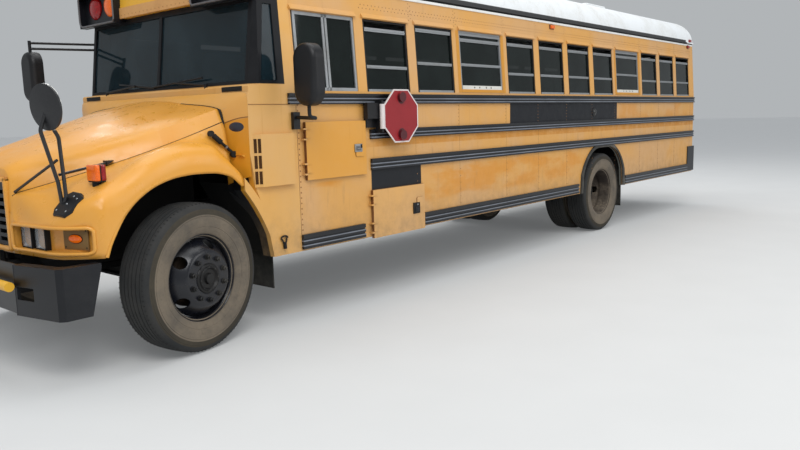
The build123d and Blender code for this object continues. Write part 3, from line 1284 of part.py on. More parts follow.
# Seats: cushion, back and legs for each bench
seats = []
for row in range(seat_rows):
    y = along(first_seat) + row * seat_pitch
    top = floor_z + seat_height
    outline = [(y - 230, top - 120), (y - 250, top - 10), (y + 150, top - 30), (y + 215, floor_z + seat_back_top),
               (y + 285, floor_z + seat_back_top), (y + 235, top - 120)]
    for side in (-1, 1):
        x0 = side * aisle_half
        x1 = side * (aisle_half + seat_width)
        bench = along_x(outline, min(x0, x1), max(x0, x1))
        bench = fillet(bench.edges().filter_by(Axis.X), 22)
        for leg_y in (y - 150, y + 150):
            for leg_x in (side * (aisle_half + 60), side * (aisle_half + seat_width - 120)):
                bench += block(leg_x, leg_x + side * 40, leg_y, leg_y + 40, floor_z + seat_gap, top - 100)
        seats.append(bench)
driver_y = along(1380)
driver_x = 560
chair = rounded(block(driver_x - 240, driver_x + 240, driver_y - 260, driver_y + 230, 1540, 1650), Axis.X, 40)
chair += rounded(block(driver_x - 240, driver_x + 240, driver_y + 150, driver_y + 270, 1600, 2280), Axis.X, 40)
chair += bar(driver_x, driver_y, (floor_z + 1580) / 2, "z", 110, 1580 - floor_z - 2 * seat_gap)
seats.append(chair)
nodes["seats"] = Compound(children=seats)

# Dashboard, steering column and wheel
dash = along_x([(along(600), 1560), (along(600), 1790), (along(650), 1822), (along(800), 1780), (along(830), 1640),
                (along(700), 1500)], -1040, 1040)
column_low = Vector(driver_x, along(690), 1600)
column_high = Vector(driver_x, along(935), 1840)
column_dir = (column_high - column_low).normalized()
column = extrude(Plane(origin=column_low, z_dir=column_dir) * Circle(30), amount=(column_high - column_low).length)
wheel_plane = Plane(origin=column_high, z_dir=column_dir)
steer_rim = wheel_plane * Torus(215, 15)
hub = extrude(wheel_plane * Circle(50), amount=20, both=True)
for angle in (90, 210, 330):
    hub += wheel_plane * Rot(0, 0, angle) * Pos(110, 0, 0) * Box(210, 28, 12)
nodes["dashboard"] = dash + column + steer_rim + hub
nodes["dashboard"] += block(-1000, -960, along(705), along(745), floor_z + seat_gap, 1640)
nodes["dashboard"] += block(960, 1000, along(705), along(745), floor_z + seat_gap, 1640)

# Wipers on the ledge: pivot x, blade middle x, half length of the blade and its rise at the outer end
wiper_rows = ((690, 270, 370, 22), (-796, -310, 275, -26))
blade_y = along(windshield_y) - 8
wipers = []
for pivot_x, blade_x, blade_half, rise in wiper_rows:
    pivot = Vector(pivot_x, along(windshield_y) - 16, ledge_z)
    arm_end = Vector(blade_x, blade_y - 16, windshield_foot_z + 48)
    shape = tube([pivot + Vector(0, 0, -34), pivot + Vector(0, 0, 26)], 13, 5) - cap
    shape += tube([pivot + Vector(0, -8, 20), arm_end], 7, 5)
    shape += tube([arm_end + Vector(0, -4, 0), arm_end + Vector(0, 16, 0)], 6, 5)
    shape += tube([Vector(blade_x - blade_half, blade_y, windshield_foot_z + 48 - rise),
                   Vector(blade_x + blade_half, blade_y, windshield_foot_z + 48 + rise)], 7, 5)
    wipers.append(shape - cap)
nodes["wipers"] = Compound(children=wipers)

# Mud flaps behind the wheels
flaps = []
for side in (-1, 1):
    front_flap = block(side * 800, side * 1110, along(662), along(672), 290, 700)
    front_flap += block(side * (rail_x + seat_gap), side * 1110, along(662), along(720), 700, 712)
    rear_flap = block(side * 600, side * (half_width - wall - gap), rear_axle_y + 640, rear_axle_y + 650,
                      260, rail_z[1])
    flaps += [front_flap, rear_flap]
nodes["mud_flaps"] = Compound(children=flaps)

# Fuel tank with straps, between the axles on the right
tank = rounded(block(-half_width + wall + 40, -620, along(2700), along(3800), 500, 900), Axis.Y, 60)
for distance in (2900, 3250, 3600):
    tank += block(-half_width + wall + 30, -rail_x - seat_gap, along(distance), along(distance + 60), 880, 910)
nodes["fuel_tank"] = tank

# Exhaust: pipe, muffler and tail pipe inside the rails
pipe_x = -270
exhaust = tube([(pipe_x, along(300) + seat_gap, 760), (pipe_x, along(5400), 760), (pipe_x, along(6300), 780),
                (pipe_x, along(9000), 740), (pipe_x, body_rear_y + 40, 470)], 42, [900, 900, 300])
exhaust += bar(pipe_x + 45, along(3500), 750, "y", 115, 1000)
nodes["exhaust"] = exhaust

for name, shape in nodes.items():
    export_step(shape, "parts/" + name + ".step")
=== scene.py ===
import json
import math

import bmesh
import bpy
from mathutils import Matrix, Vector


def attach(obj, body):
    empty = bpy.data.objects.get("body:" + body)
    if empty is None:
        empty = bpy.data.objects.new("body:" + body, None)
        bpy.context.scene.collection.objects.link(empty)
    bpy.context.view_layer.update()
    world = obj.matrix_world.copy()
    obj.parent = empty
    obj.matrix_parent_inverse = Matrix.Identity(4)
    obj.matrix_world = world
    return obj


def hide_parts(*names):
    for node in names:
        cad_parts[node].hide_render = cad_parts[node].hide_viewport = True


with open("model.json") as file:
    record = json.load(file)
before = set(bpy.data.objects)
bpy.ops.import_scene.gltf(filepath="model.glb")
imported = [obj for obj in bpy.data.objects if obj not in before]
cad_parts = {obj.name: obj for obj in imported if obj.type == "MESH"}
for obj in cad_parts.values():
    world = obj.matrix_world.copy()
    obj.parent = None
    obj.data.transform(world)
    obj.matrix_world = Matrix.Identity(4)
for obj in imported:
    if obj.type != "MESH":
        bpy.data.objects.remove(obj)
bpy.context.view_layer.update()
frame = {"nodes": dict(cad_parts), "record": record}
nodes = frame["nodes"]
scene = bpy.context.scene

DATUM_Y = -4.306
FRONT_AXLE_Y = -4.407
REAR_AXLE_Y = 1.994
REAR_FACE_Y = 5.384
AXLE_Z = 0.52
HALF_WIDTH = 1.219
SILL_Z = 1.803
EAVE_Z = 2.65
EAVE_X = 1.165
LEAN = 0.0638
SIDES = (-1, 1)


def along(distance):
    """Y of a point this far behind the datum, a line a little behind the front axle."""
    return DATUM_Y + distance


def side_x(z):
    """Outside of the body at a height."""
    if z <= SILL_Z:
        return HALF_WIDTH
    return HALF_WIDTH - (HALF_WIDTH - EAVE_X) * (z - SILL_Z) / (EAVE_Z - SILL_Z)


# Camera, from the vanishing points and known sizes in the photograph
def add_camera():
    place = Vector((5.47704, along(-2.9129), 1.58084))
    yaw, pitch, roll = 2.27822, -0.14647, -0.02626
    focal_px, photo_width_px = 730.26, 800
    level = math.cos(pitch)
    forward = Vector((level * math.cos(yaw), level * math.sin(yaw), math.sin(pitch)))
    right = forward.cross(Vector((0, 0, 1))).normalized()
    up = right.cross(forward)
    right_rolled = math.cos(roll) * right + math.sin(roll) * up
    up_rolled = -math.sin(roll) * right + math.cos(roll) * up
    data = bpy.data.cameras.new("camera")
    data.sensor_width = 36
    data.lens = data.sensor_width * focal_px / photo_width_px
    data.clip_end = 200
    camera = bpy.data.objects.new("camera", data)
    turn = Matrix((right_rolled, up_rolled, -forward)).transposed().to_4x4()
    camera.matrix_world = Matrix.Translation(place) @ turn
    scene.collection.objects.link(camera)
    scene.camera = camera


add_camera()


def rgb(red, green, blue):
    """A colour given as it looks on a screen, 0 to 255."""
    def linear(c):
        c /= 255
        return c / 12.92 if c <= 0.04045 else ((c + 0.055) / 1.055) ** 2.4
    return (linear(red), linear(green), linear(blue), 1)


# Materials: a short builder for node trees
def feed(tree, socket, value):
    if isinstance(value, bpy.types.NodeSocket):
        tree.links.new(value, socket)
    else:
        socket.default_value = value


def add_node(tree, kind, inputs=None, **options):
    """A shader node; its inputs take values or the outputs of other nodes."""
    node = tree.nodes.new("ShaderNode" + kind)
    for name, value in options.items():
        setattr(node, name, value)
    for name, value in (inputs or {}).items():
        feed(tree, node.inputs[name], value)
    return node


materials = {}


class Shade:
    """A procedural material; helpers return output sockets, and colours are given as on a screen."""

    def __init__(self, name, metallic=0.0, roughness=0.5):
        self.material = materials[name] = bpy.data.materials.new(name)
        self.material.use_nodes = True
        self.tree = self.material.node_tree
        self.tree.nodes.clear()
        self.surface = self.node("BsdfPrincipled")
        self.set(Metallic=metallic, Roughness=roughness)
        self.node("OutputMaterial", {"Surface": self.surface.outputs[0]})
        places = self.node("TexCoord").outputs
        self.coords = places["Object"]
        self.facing = self.node("SeparateXYZ", {0: places["Normal"]}).outputs
        self.x, self.y, self.z = self.node("SeparateXYZ", {0: self.coords}).outputs
        self.width = self.math("ABSOLUTE", self.x)

    def node(self, kind, inputs=None, **options):
        return add_node(self.tree, kind, inputs, **options)

    def noise(self, scale, detail, rough, stretch=None, warp=0.0):
        place = self.coords
        if stretch:
            place = self.node("Mapping", {"Scale": stretch, "Vector": place}).outputs[0]
        sizes = {"Scale": scale, "Detail": detail, "Roughness": rough, "Distortion": warp}
        return self.node("TexNoise", {**sizes, "Vector": place}).outputs["Fac"]

    def span(self, value, low, high, to_low=0.0, to_high=1.0):
        """A value carried from one range to another with a soft start and end."""
        ends = {"From Min": low, "From Max": high, "To Min": to_low, "To Max": to_high}
        return self.node("MapRange", {**ends, "Value": value}, interpolation_type="SMOOTHSTEP").outputs[0]

    def math(self, operation, *values):
        return self.node("Math", dict(enumerate(values)), operation=operation).outputs[0]

    def fold(self, operation, values):
        result, *rest = values
        for value in rest:
            result = self.math(operation, result, value)
        return result

    def product(self, *values):
        return self.fold("MULTIPLY", values)

    def total(self, *values):
        return self.fold("ADD", values)

    def largest(self, *values):
        return self.fold("MAXIMUM", values)

    def off(self, value, middle):
        return self.math("SUBTRACT", value, middle)

    def above(self, value, level, soft=0.003):
        return self.span(value, level - soft, level + soft)

    def below(self, value, level, soft=0.003):
        return self.span(value, level + soft, level - soft)

    def band(self, value, low, high, soft=0.004):
        """1 between low and high, 0 outside, with soft edges."""
        return self.product(self.above(value, low, soft), self.below(value, high, soft))

    def stretch(self, front, rear, soft=0.004):
        """1 between two distances behind the datum."""
        return self.band(self.y, along(front), along(rear), soft)

    def blend(self, factor, a, b, **options):
        return self.node("Mix", {"Factor": factor, "A": a, "B": b}, **options).outputs["Result"]

    def mix(self, factor, a, b):
        a, b = [rgb(*colour) if isinstance(colour, tuple) else colour for colour in (a, b)]
        return self.blend(factor, a, b, data_type="RGBA")

    def layers(self, base, *coats):
        """A base colour under coats, each with its mask and its colour."""
        for mask, colour in coats:
            base = self.mix(mask, base, colour)
        return base

    def bump(self, height, strength, distance):
        node = self.node("Bump", {"Strength": strength, "Distance": distance, "Height": height})
        self.set(Normal=node.outputs[0])

    def set(self, **values):
        for name, value in values.items():
            feed(self.tree, self.surface.inputs[name.replace("_", " ")], value)


def aged_yellow(name, fresh, faded, deep, gloss, zones=None, worn=1.0, inside=False):
    """School bus enamel: sun-faded high up, dusty low down, with streaks, stains and chips."""
    m = Shade(name)
    cloud = m.noise(1.1, 5, 0.6, warp=0.4)
    fine = m.noise(9, 6, 0.65)
    streak = m.noise(5, 4, 0.6, stretch=(1, 4, 0.22))
    base = m.mix(m.span(cloud, 0.35, 0.62), fresh, faded)
    base = m.mix(m.span(streak, 0.58, 0.78, 0, 0.35 * worn), base, deep)
    if zones:
        base = zones(m, base, cloud, fine)
    dirt = m.product(m.span(m.z, 1.05, 0.5), m.span(fine, 0.3, 0.75, 0.1, 0.6 * worn))
    rust = m.product(m.span(m.noise(34, 8, 0.7), 0.71, 0.76), m.span(cloud, 0.5, 0.72), worn)
    base = m.layers(base, (dirt, (142, 116, 82)), (rust, (112, 66, 34)))
    if inside:
        lean = m.largest(m.product(m.off(m.z, SILL_Z), LEAN), 0.0)
        inner = m.product(m.below(m.total(m.width, lean), HALF_WIDTH - 0.02, 0.001),
                          m.below(m.y, REAR_FACE_Y - 0.02, 0.001))
        base = m.mix(inner, base, m.mix(fine, (96, 98, 92), (112, 112, 104)))
    m.bump(m.noise(60, 3, 0.5), 0.05, 0.001)
    m.set(Base_Color=base, Roughness=m.blend(m.span(fine, 0.3, 0.7), gloss, gloss + 0.2), Coat_Weight=0.1,
          Coat_Roughness=0.25)


def side_paint(m, base, cloud, fine):
    """Black fields, the deeper band under the belt rail, and old paint that shows through low down."""
    amber = (203, 134, 34)
    wide = m.above(m.width, 1.1)
    patchy = m.span(m.noise(2.2, 4, 0.6, stretch=(1, 0.5, 1.6)), 0.42, 0.58)
    ochre = m.product(wide, m.band(m.z, 1.335, 1.41, 0.006), m.above(m.y, along(1.7), 0.2),
                      m.span(fine, 0.3, 0.6, 0.55, 1))
    ghost = m.product(wide, m.band(m.z, 0.8, 1.12, 0.03), m.stretch(2.35, 5.7, 0.3), patchy, 0.85)
    front_ghost = m.product(wide, m.band(m.z, 0.99, 1.09, 0.02), m.stretch(0.9, 1.7, 0.1), patchy)
    belt = m.product(wide, m.band(m.z, 1.49, 1.69, 0.01), m.above(m.y, along(6.69), 0.05),
                     m.span(m.noise(1.6, 3, 0.5), 0.45, 0.6), 0.6)
    grime = m.product(wide, m.span(m.z, 1.56, 1.2),
                      m.span(m.noise(14, 5, 0.6, stretch=(1, 1.2, 0.25)), 0.55, 0.8, 0, 0.4))
    field = m.product(wide, m.stretch(3.945, 6.672), m.band(m.z, 1.48, 1.71))
    patch = m.product(m.above(m.x, 1.1), m.stretch(1.705, 2.388), m.band(m.z, 0.965, 1.15))
    stripe = m.product(wide, m.above(m.z, 2.634))
    arch = m.product(m.below(m.width, 1.2165, 0.0005), m.band(m.y, REAR_AXLE_Y - 0.66, REAR_AXLE_Y + 0.6),
                     m.below(m.z, 1.14))
    black = m.largest(field, patch, stripe, arch, m.below(m.z, 0.5615, 0.0005))
    m.set(Specular_IOR_Level=m.blend(black, 0.5, 0.2))
    return m.layers(base, (ochre, (190, 126, 34)), (ghost, amber), (front_ghost, amber), (belt, amber),
                    (grime, (150, 112, 70)), (black, m.mix(fine, (16, 18, 23), (34, 36, 40))))


def cap_paint(m, base, cloud, fine):
    """The front: black round the windshield, deeper yellow on the cheeks, black in the wheel house, and
    painted shade inside the cab.
    """
    cheek = m.product(m.above(m.width, 0.9), m.below(m.width, 1.206), m.band(m.z, 0.6, 1.56, 0.006),
                      m.below(m.y, along(0.52)), 0.85)
    # Painted shade: the inner surfaces of the cab behind the cowl are painted near black.
    cabin_shade = m.product(m.above(m.y, along(0.5)), m.below(m.width, 1.176), m.below(m.z, 1.83))
    wheel_house = m.product(m.below(m.y, along(0.63)), m.below(m.width, 1.172, 0.004), m.below(m.z, 1.225))
    surround = m.product(m.below(m.y, along(0.781)), m.above(m.z, 1.85), m.below(m.z, 2.5))
    stripe = m.product(m.above(m.z, 2.634), m.above(m.y, along(0.86)), m.above(m.width, 1.1))
    black = m.largest(cabin_shade, wheel_house, surround, stripe)
    m.set(Specular_IOR_Level=m.blend(black, 0.5, 0.15))
    return m.layers(base, (cheek, (206, 140, 22)), (black, m.mix(fine, (12, 13, 16), (28, 29, 32))))


def cheek_paint(m, base, cloud, fine):
    """Deeper yellow under the seam of the hood line."""
    rise = m.product(m.off(m.y, along(0.361)), 0.44)
    return m.mix(m.product(m.below(m.off(m.z, rise), 1.58), 0.85), base, (204, 134, 14))


def door_rims_rust_and_shade(m, base, cloud, fine):
    """Dark rims of a small door: rust, and painted shade on the edge faces where the gap round the door
    falls dark.
    """
    # Partly rust, partly painted shade on the edge faces of the door.
    rim = m.below(m.math("ABSOLUTE", m.facing[0]), 0.5, 0.05)
    return m.mix(rim, base, m.mix(cloud, (84, 50, 24), (138, 84, 40)))


def weathered(name, colour, dust, roughness, share=0.5, metallic=0.0, grain=30, zones=None, coat=0.0,
              shine=0.5):
    """A painted or moulded surface with a share of dust in patches, and a fine grain."""
    m = Shade(name, metallic)
    cloud = m.noise(2.3, 6, 0.62, warp=0.3)
    fine = m.noise(grain, 5, 0.6)
    dusty = m.product(m.span(cloud, 0.38, 0.72), m.span(fine, 0.25, 0.7, 0.3, 1.0), share)
    base = m.mix(dusty, colour, dust)
    if zones:
        base = zones(m, base, cloud, fine)
    m.bump(fine, 0.12, 0.0012)
    rough = m.blend(dusty, roughness, min(1.0, roughness + 0.35))
    m.set(Base_Color=base, Roughness=rough, Coat_Weight=coat, Coat_Roughness=0.2, Specular_IOR_Level=shine)


def roof_paint(m, base, cloud, fine):
    """White roof with a black stripe over the drip rail and stains."""
    stain = m.span(m.noise(6, 6, 0.65, stretch=(0.4, 1, 1)), 0.6, 0.85, 0, 0.4)
    edge = m.product(m.below(m.z, 2.7), m.above(m.y, along(0.9)), m.below(m.y, along(9.4)))
    return m.layers(base, (stain, (150, 142, 128)), (m.below(m.y, along(0.9)), (206, 150, 62)),
                    (edge, m.mix(fine, (28, 29, 31), (58, 58, 58))))


def painted_rib_highlights(m, base, cloud, fine):
    """Painted highlights: paler lines along the upper edges of the ribs, where they catch the light."""
    highlight_lines = m.largest(*[m.band(m.z, z - 0.0045, z + 0.0045, 0.002)
                         for z in (0.601, 0.64, 1.161, 1.192, 1.418, 1.446, 1.715, 1.743)])
    return m.mix(m.product(highlight_lines, m.span(cloud, 0.3, 0.7, 0.55, 0.9)), base, (128, 133, 142))


def glass(name, tint, film_and_reflection, alpha):
    """A tinted pane with smears of film, which on the windscreen are partly painted reflection; alpha is
    how much it hides.
    """
    m = Shade(name, roughness=0.04)
    smear = m.noise(3, 5, 0.6)
    m.set(Base_Color=m.mix(m.span(smear, 0.3, 0.8, 0, 0.3), tint, film_and_reflection), Specular_IOR_Level=0.28,
          Alpha=m.span(smear, 0.3, 0.8, alpha, alpha + 0.08))
    m.material.surface_render_method = "BLENDED"


def lens(name, colour, deep, ribs=160):
    """A lamp lens with small cells, deeper in colour between them."""
    m = Shade(name, roughness=0.18)
    ridge = m.node("TexVoronoi", {"Scale": ribs, "Vector": m.coords}).outputs["Distance"]
    m.bump(ridge, 0.35, 0.0015)
    m.set(Base_Color=m.mix(m.span(ridge, 0.0, 0.6), colour, deep), Coat_Weight=0.5, Specular_IOR_Level=0.3,
          Emission_Color=rgb(*deep), Emission_Strength=0.4)


def tyre_rubber():
    """Dark rubber of the tread, in two shades."""
    m = Shade("tyre_rubber", roughness=0.88)
    m.bump(m.noise(40, 5, 0.6), 0.25, 0.002)
    m.set(Base_Color=m.mix(m.span(m.noise(3, 5, 0.6), 0.35, 0.7), (30, 32, 33), (48, 47, 45)))


def dusty_sidewall():
    """Brown dust on the wall of a tyre, rubbed off in specks."""
    m = Shade("dusty_sidewall", roughness=0.92)
    fine = m.noise(55, 5, 0.6)
    m.bump(fine, 0.2, 0.0015)
    base = m.mix(m.span(m.noise(3.5, 6, 0.62), 0.36, 0.7), (112, 101, 86), (86, 79, 70))
    m.set(Base_Color=m.mix(m.span(fine, 0.5, 0.8, 0, 0.4), base, (60, 57, 53)))


def cross_mirror():
    """Black mirror on a stalk, with its silvered face towards the driver."""
    m = Shade("cross_mirror")
    depth = m.total(m.product(m.off(m.width, 0.96), -0.2), m.product(m.off(m.y, along(-0.89)), 0.97),
                    m.product(m.off(m.z, 1.697), 0.1))
    face = m.product(m.above(depth, 0.0055, 0.001), m.above(m.z, 1.558), m.below(m.z, 1.85))
    base = m.mix(face, m.mix(m.noise(60, 4, 0.6), (16, 17, 20), (40, 40, 42)), (232, 232, 226))
    m.set(Base_Color=base, Metallic=face, Roughness=m.blend(face, 0.42, 0.08))


def stop_red():
    """Red octagon with a pale edge and a dark ring round each lamp."""
    m = Shade("sign_red", roughness=0.42)
    fade = m.noise(6, 4, 0.6)
    y = m.math("ABSOLUTE", m.off(m.y, along(2.0115)))
    z = m.math("ABSOLUTE", m.off(m.z, 1.592))
    slant = m.product(m.total(y, z), 0.70711)
    edge = m.above(m.largest(y, z, slant), 0.2165, 0.001)
    up = m.off(z, 0.155)
    lamp = m.below(m.math("SQRT", m.total(m.product(y, y), m.product(up, up))), 0.05, 0.002)
    m.set(Base_Color=m.layers(m.mix(fade, (128, 6, 16), (146, 18, 28)),
                              (edge, m.mix(fade, (222, 214, 212), (196, 186, 182))), (lamp, (74, 10, 20))))


COAT = ((207, 152, 76), (201, 154, 98), (172, 122, 58))
aged_yellow("coach_yellow", *COAT, 0.45)
aged_yellow("wall_yellow", *COAT, 0.45, side_paint, inside=True)
aged_yellow("cap_yellow", (212, 158, 78), (206, 158, 92), (182, 128, 50), 0.42, cap_paint)
aged_yellow("hood_yellow", (216, 148, 44), (214, 152, 62), (196, 132, 40), 0.24, worn=0.3)
aged_yellow("cheek_yellow", (216, 156, 62), (214, 158, 80), (196, 138, 50), 0.32, cheek_paint)
aged_yellow("door_yellow", (210, 158, 88), (200, 154, 98), (172, 122, 58), 0.45, door_rims_rust_and_shade)
aged_yellow("door_orange", (208, 146, 52), (206, 150, 72), (180, 118, 34), 0.45, door_rims_rust_and_shade)
weathered("roof_white", (226, 229, 230), (184, 180, 168), 0.5, zones=roof_paint)
weathered("black_paint", (15, 17, 22), (50, 50, 52), 0.34, 0.28, shine=0.35)
# The rub rails carry painted highlights along their ribs.
weathered("rail_black", (15, 17, 22), (50, 50, 52), 0.34, 0.28, zones=painted_rib_highlights, shine=0.45)
weathered("chassis_black", (13, 13, 13), (44, 40, 35), 0.85, shine=0.25)
weathered("rim_black", (15, 17, 24), (42, 38, 34), 0.26, 0.4)
weathered("rim_dusty", (52, 46, 42), (128, 116, 100), 0.8, 0.95, shine=0.2)
weathered("hub_black", (11, 11, 12), (34, 31, 28), 0.4, shine=0.35)
weathered("drum_brown", (46, 36, 28), (96, 84, 66), 0.9, 0.7, shine=0.2)
weathered("shoulder_brown", (58, 54, 47), (82, 75, 62), 0.92, 0.6, shine=0.2)
# Painted shade for the cuts across the tyre ribs, with some dust.
weathered("groove_shade", (20, 20, 20), (44, 42, 38), 0.95, 0.4)
weathered("window_aluminium", (150, 153, 155), (122, 120, 114), 0.45, 0.5, 0.6)
weathered("sash_black", (15, 15, 16), (40, 40, 40), 0.6, 0.4, shine=0.3)
weathered("black_plastic", (14, 15, 18), (42, 42, 44), 0.42, 0.3, grain=90, shine=0.35)
weathered("rubber", (26, 26, 26), (72, 70, 66), 0.85, shine=0.25)
weathered("sign_yellow", (228, 172, 44), (190, 160, 96), 0.45, 0.35)
weathered("deep_yellow", (196, 134, 34), (176, 128, 58), 0.5)
weathered("flange_tan", (208, 158, 96), (160, 112, 66), 0.6)
weathered("white_trim", (226, 226, 222), (170, 160, 142), 0.5)
weathered("sill_white", (206, 204, 196), (164, 156, 140), 0.5)
weathered("arch_grey", (62, 61, 58), (122, 117, 108), 0.9, 0.9, shine=0.2)
weathered("flap_dusty", (40, 40, 38), (92, 88, 80), 0.9, 0.8, shine=0.2)
weathered("seat_vinyl", (30, 38, 34), (62, 66, 60), 0.5, 0.4, grain=80)
weathered("steel_dark", (40, 37, 34), (80, 64, 48), 0.75, 0.6)
weathered("bare_steel", (130, 126, 120), (110, 84, 60), 0.5, 0.4, 0.7)
weathered("greasy_steel", (26, 26, 27), (96, 92, 84), 0.42, 0.6, 0.3, grain=70)
weathered("chrome", (232, 235, 238), (120, 124, 126), 0.14, metallic=1.0)
weathered("dull_bronze", (128, 100, 58), (104, 92, 74), 0.6, 0.6, 0.3)
weathered("rust", (98, 58, 36), (140, 92, 56), 0.9, 0.8, grain=60)
weathered("old_seam", (138, 96, 50), (104, 74, 42), 0.7, 0.8, grain=60)
weathered("rivet_brown", (150, 104, 58), (110, 78, 48), 0.6, 0.7, grain=60)
weathered("shadow_brown", (70, 46, 26), (40, 30, 22), 0.9, 0.6, shine=0.1)
weathered("badge", (34, 38, 52), (70, 70, 76), 0.3, 0.3, coat=0.4)
weathered("pod_grey", (96, 96, 98), (60, 58, 56), 0.45)
# The windscreen's blue-green tint and paler smears are partly painted reflection.
glass("windscreen", (22, 36, 42), (46, 64, 72), 0.8)
glass("clear_glass", (13, 20, 18), (34, 44, 42), 0.82)
glass("ribbed_glass", (196, 202, 206), (150, 156, 160), 0.22)
lens("red_lens", (176, 14, 16), (104, 6, 8))
lens("amber_lens", (236, 118, 12), (190, 80, 4))
lens("lamp_glass", (214, 218, 218), (110, 116, 120), 60)
lens("smoked_lens", (40, 38, 38), (18, 18, 18))
tyre_rubber()
dusty_sidewall()
cross_mirror()
stop_red()

LOOKS = {"left_wall": "wall_yellow", "right_wall": "wall_yellow", "rear_wall": "wall_yellow",
         "front_cap": "cap_yellow", "door_hinges": "coach_yellow", "arch_flares": "arch_grey",
         "access_door": "door_orange", "battery_door": "door_yellow", "rub_rails": "rail_black",
         "cross_mirrors": "cross_mirror", "mud_flaps": "flap_dusty", "windshield": "windscreen"}
for row in frame["record"]["subparts"]:
    finishes = nodes[row["node"]].data.materials
    finishes.clear()
    finishes.append(materials[LOOKS.get(row["node"], row["material_slot"])])


# Meshes: many small shapes gathered into one piece
def smooth(points, at):
    """Value on the smooth curve through (place, value) points, without overshoot."""
    if at <= points[0][0]:
        return points[0][1]
    if at >= points[-1][0]:
        return points[-1][1]
    k = next(i for i in range(len(points) - 1) if points[i + 1][0] >= at)
    rises = [(b[1] - a[1]) / (b[0] - a[0]) for a, b in zip(points, points[1:])]

    def slope(i):
        if i == 0 or i == len(points) - 1:
            return rises[min(i, len(rises) - 1)]
        before, after = rises[i - 1], rises[i]
        return 0.0 if before * after <= 0 else 2 * before * after / (before + after)

    (x0, y0), (x1, y1) = points[k], points[k + 1]
    h = x1 - x0
    t = (at - x0) / h
    return ((2 * t**3 - 3 * t**2 + 1) * y0 + (t**3 - 2 * t**2 + t) * h * slope(k)
            + (3 * t**2 - 2 * t**3) * y1 + (t**3 - t**2) * h * slope(k + 1))


def ease(t):
    t = min(1.0, max(0.0, t))
    return t * t * (3 - 2 * t)


def lerp(a, b, t):
    return a + (b - a) * t


def steps(a, b, count):
    """Evenly spaced values, with both ends."""
    return [a + (b - a) * k / count for k in range(count + 1)]


def spot(side, x, d, z):
    """A point on one side of the bus: x outwards, d behind the datum."""
    return Vector((side * x, along(d), z))


def circle(radius, count):
    angles = [2 * math.pi * k / count for k in range(count)]
    return [(radius * math.cos(a), radius * math.sin(a)) for a in angles]


def aim(at, out):
    """A place whose local Z points outwards."""
    return Matrix.Translation(at) @ Vector(out).to_track_quat("Z", "Y").to_matrix().to_4x4()


def border(x0, x1, z0, z1, width):
    """The four bars round an opening."""
    return ((x0, x1, z0, z0 + width), (x0, x1, z1 - width, z1), (x0, x0 + width, z0 + width, z1 - width),
            (x1 - width, x1, z0 + width, z1 - width))


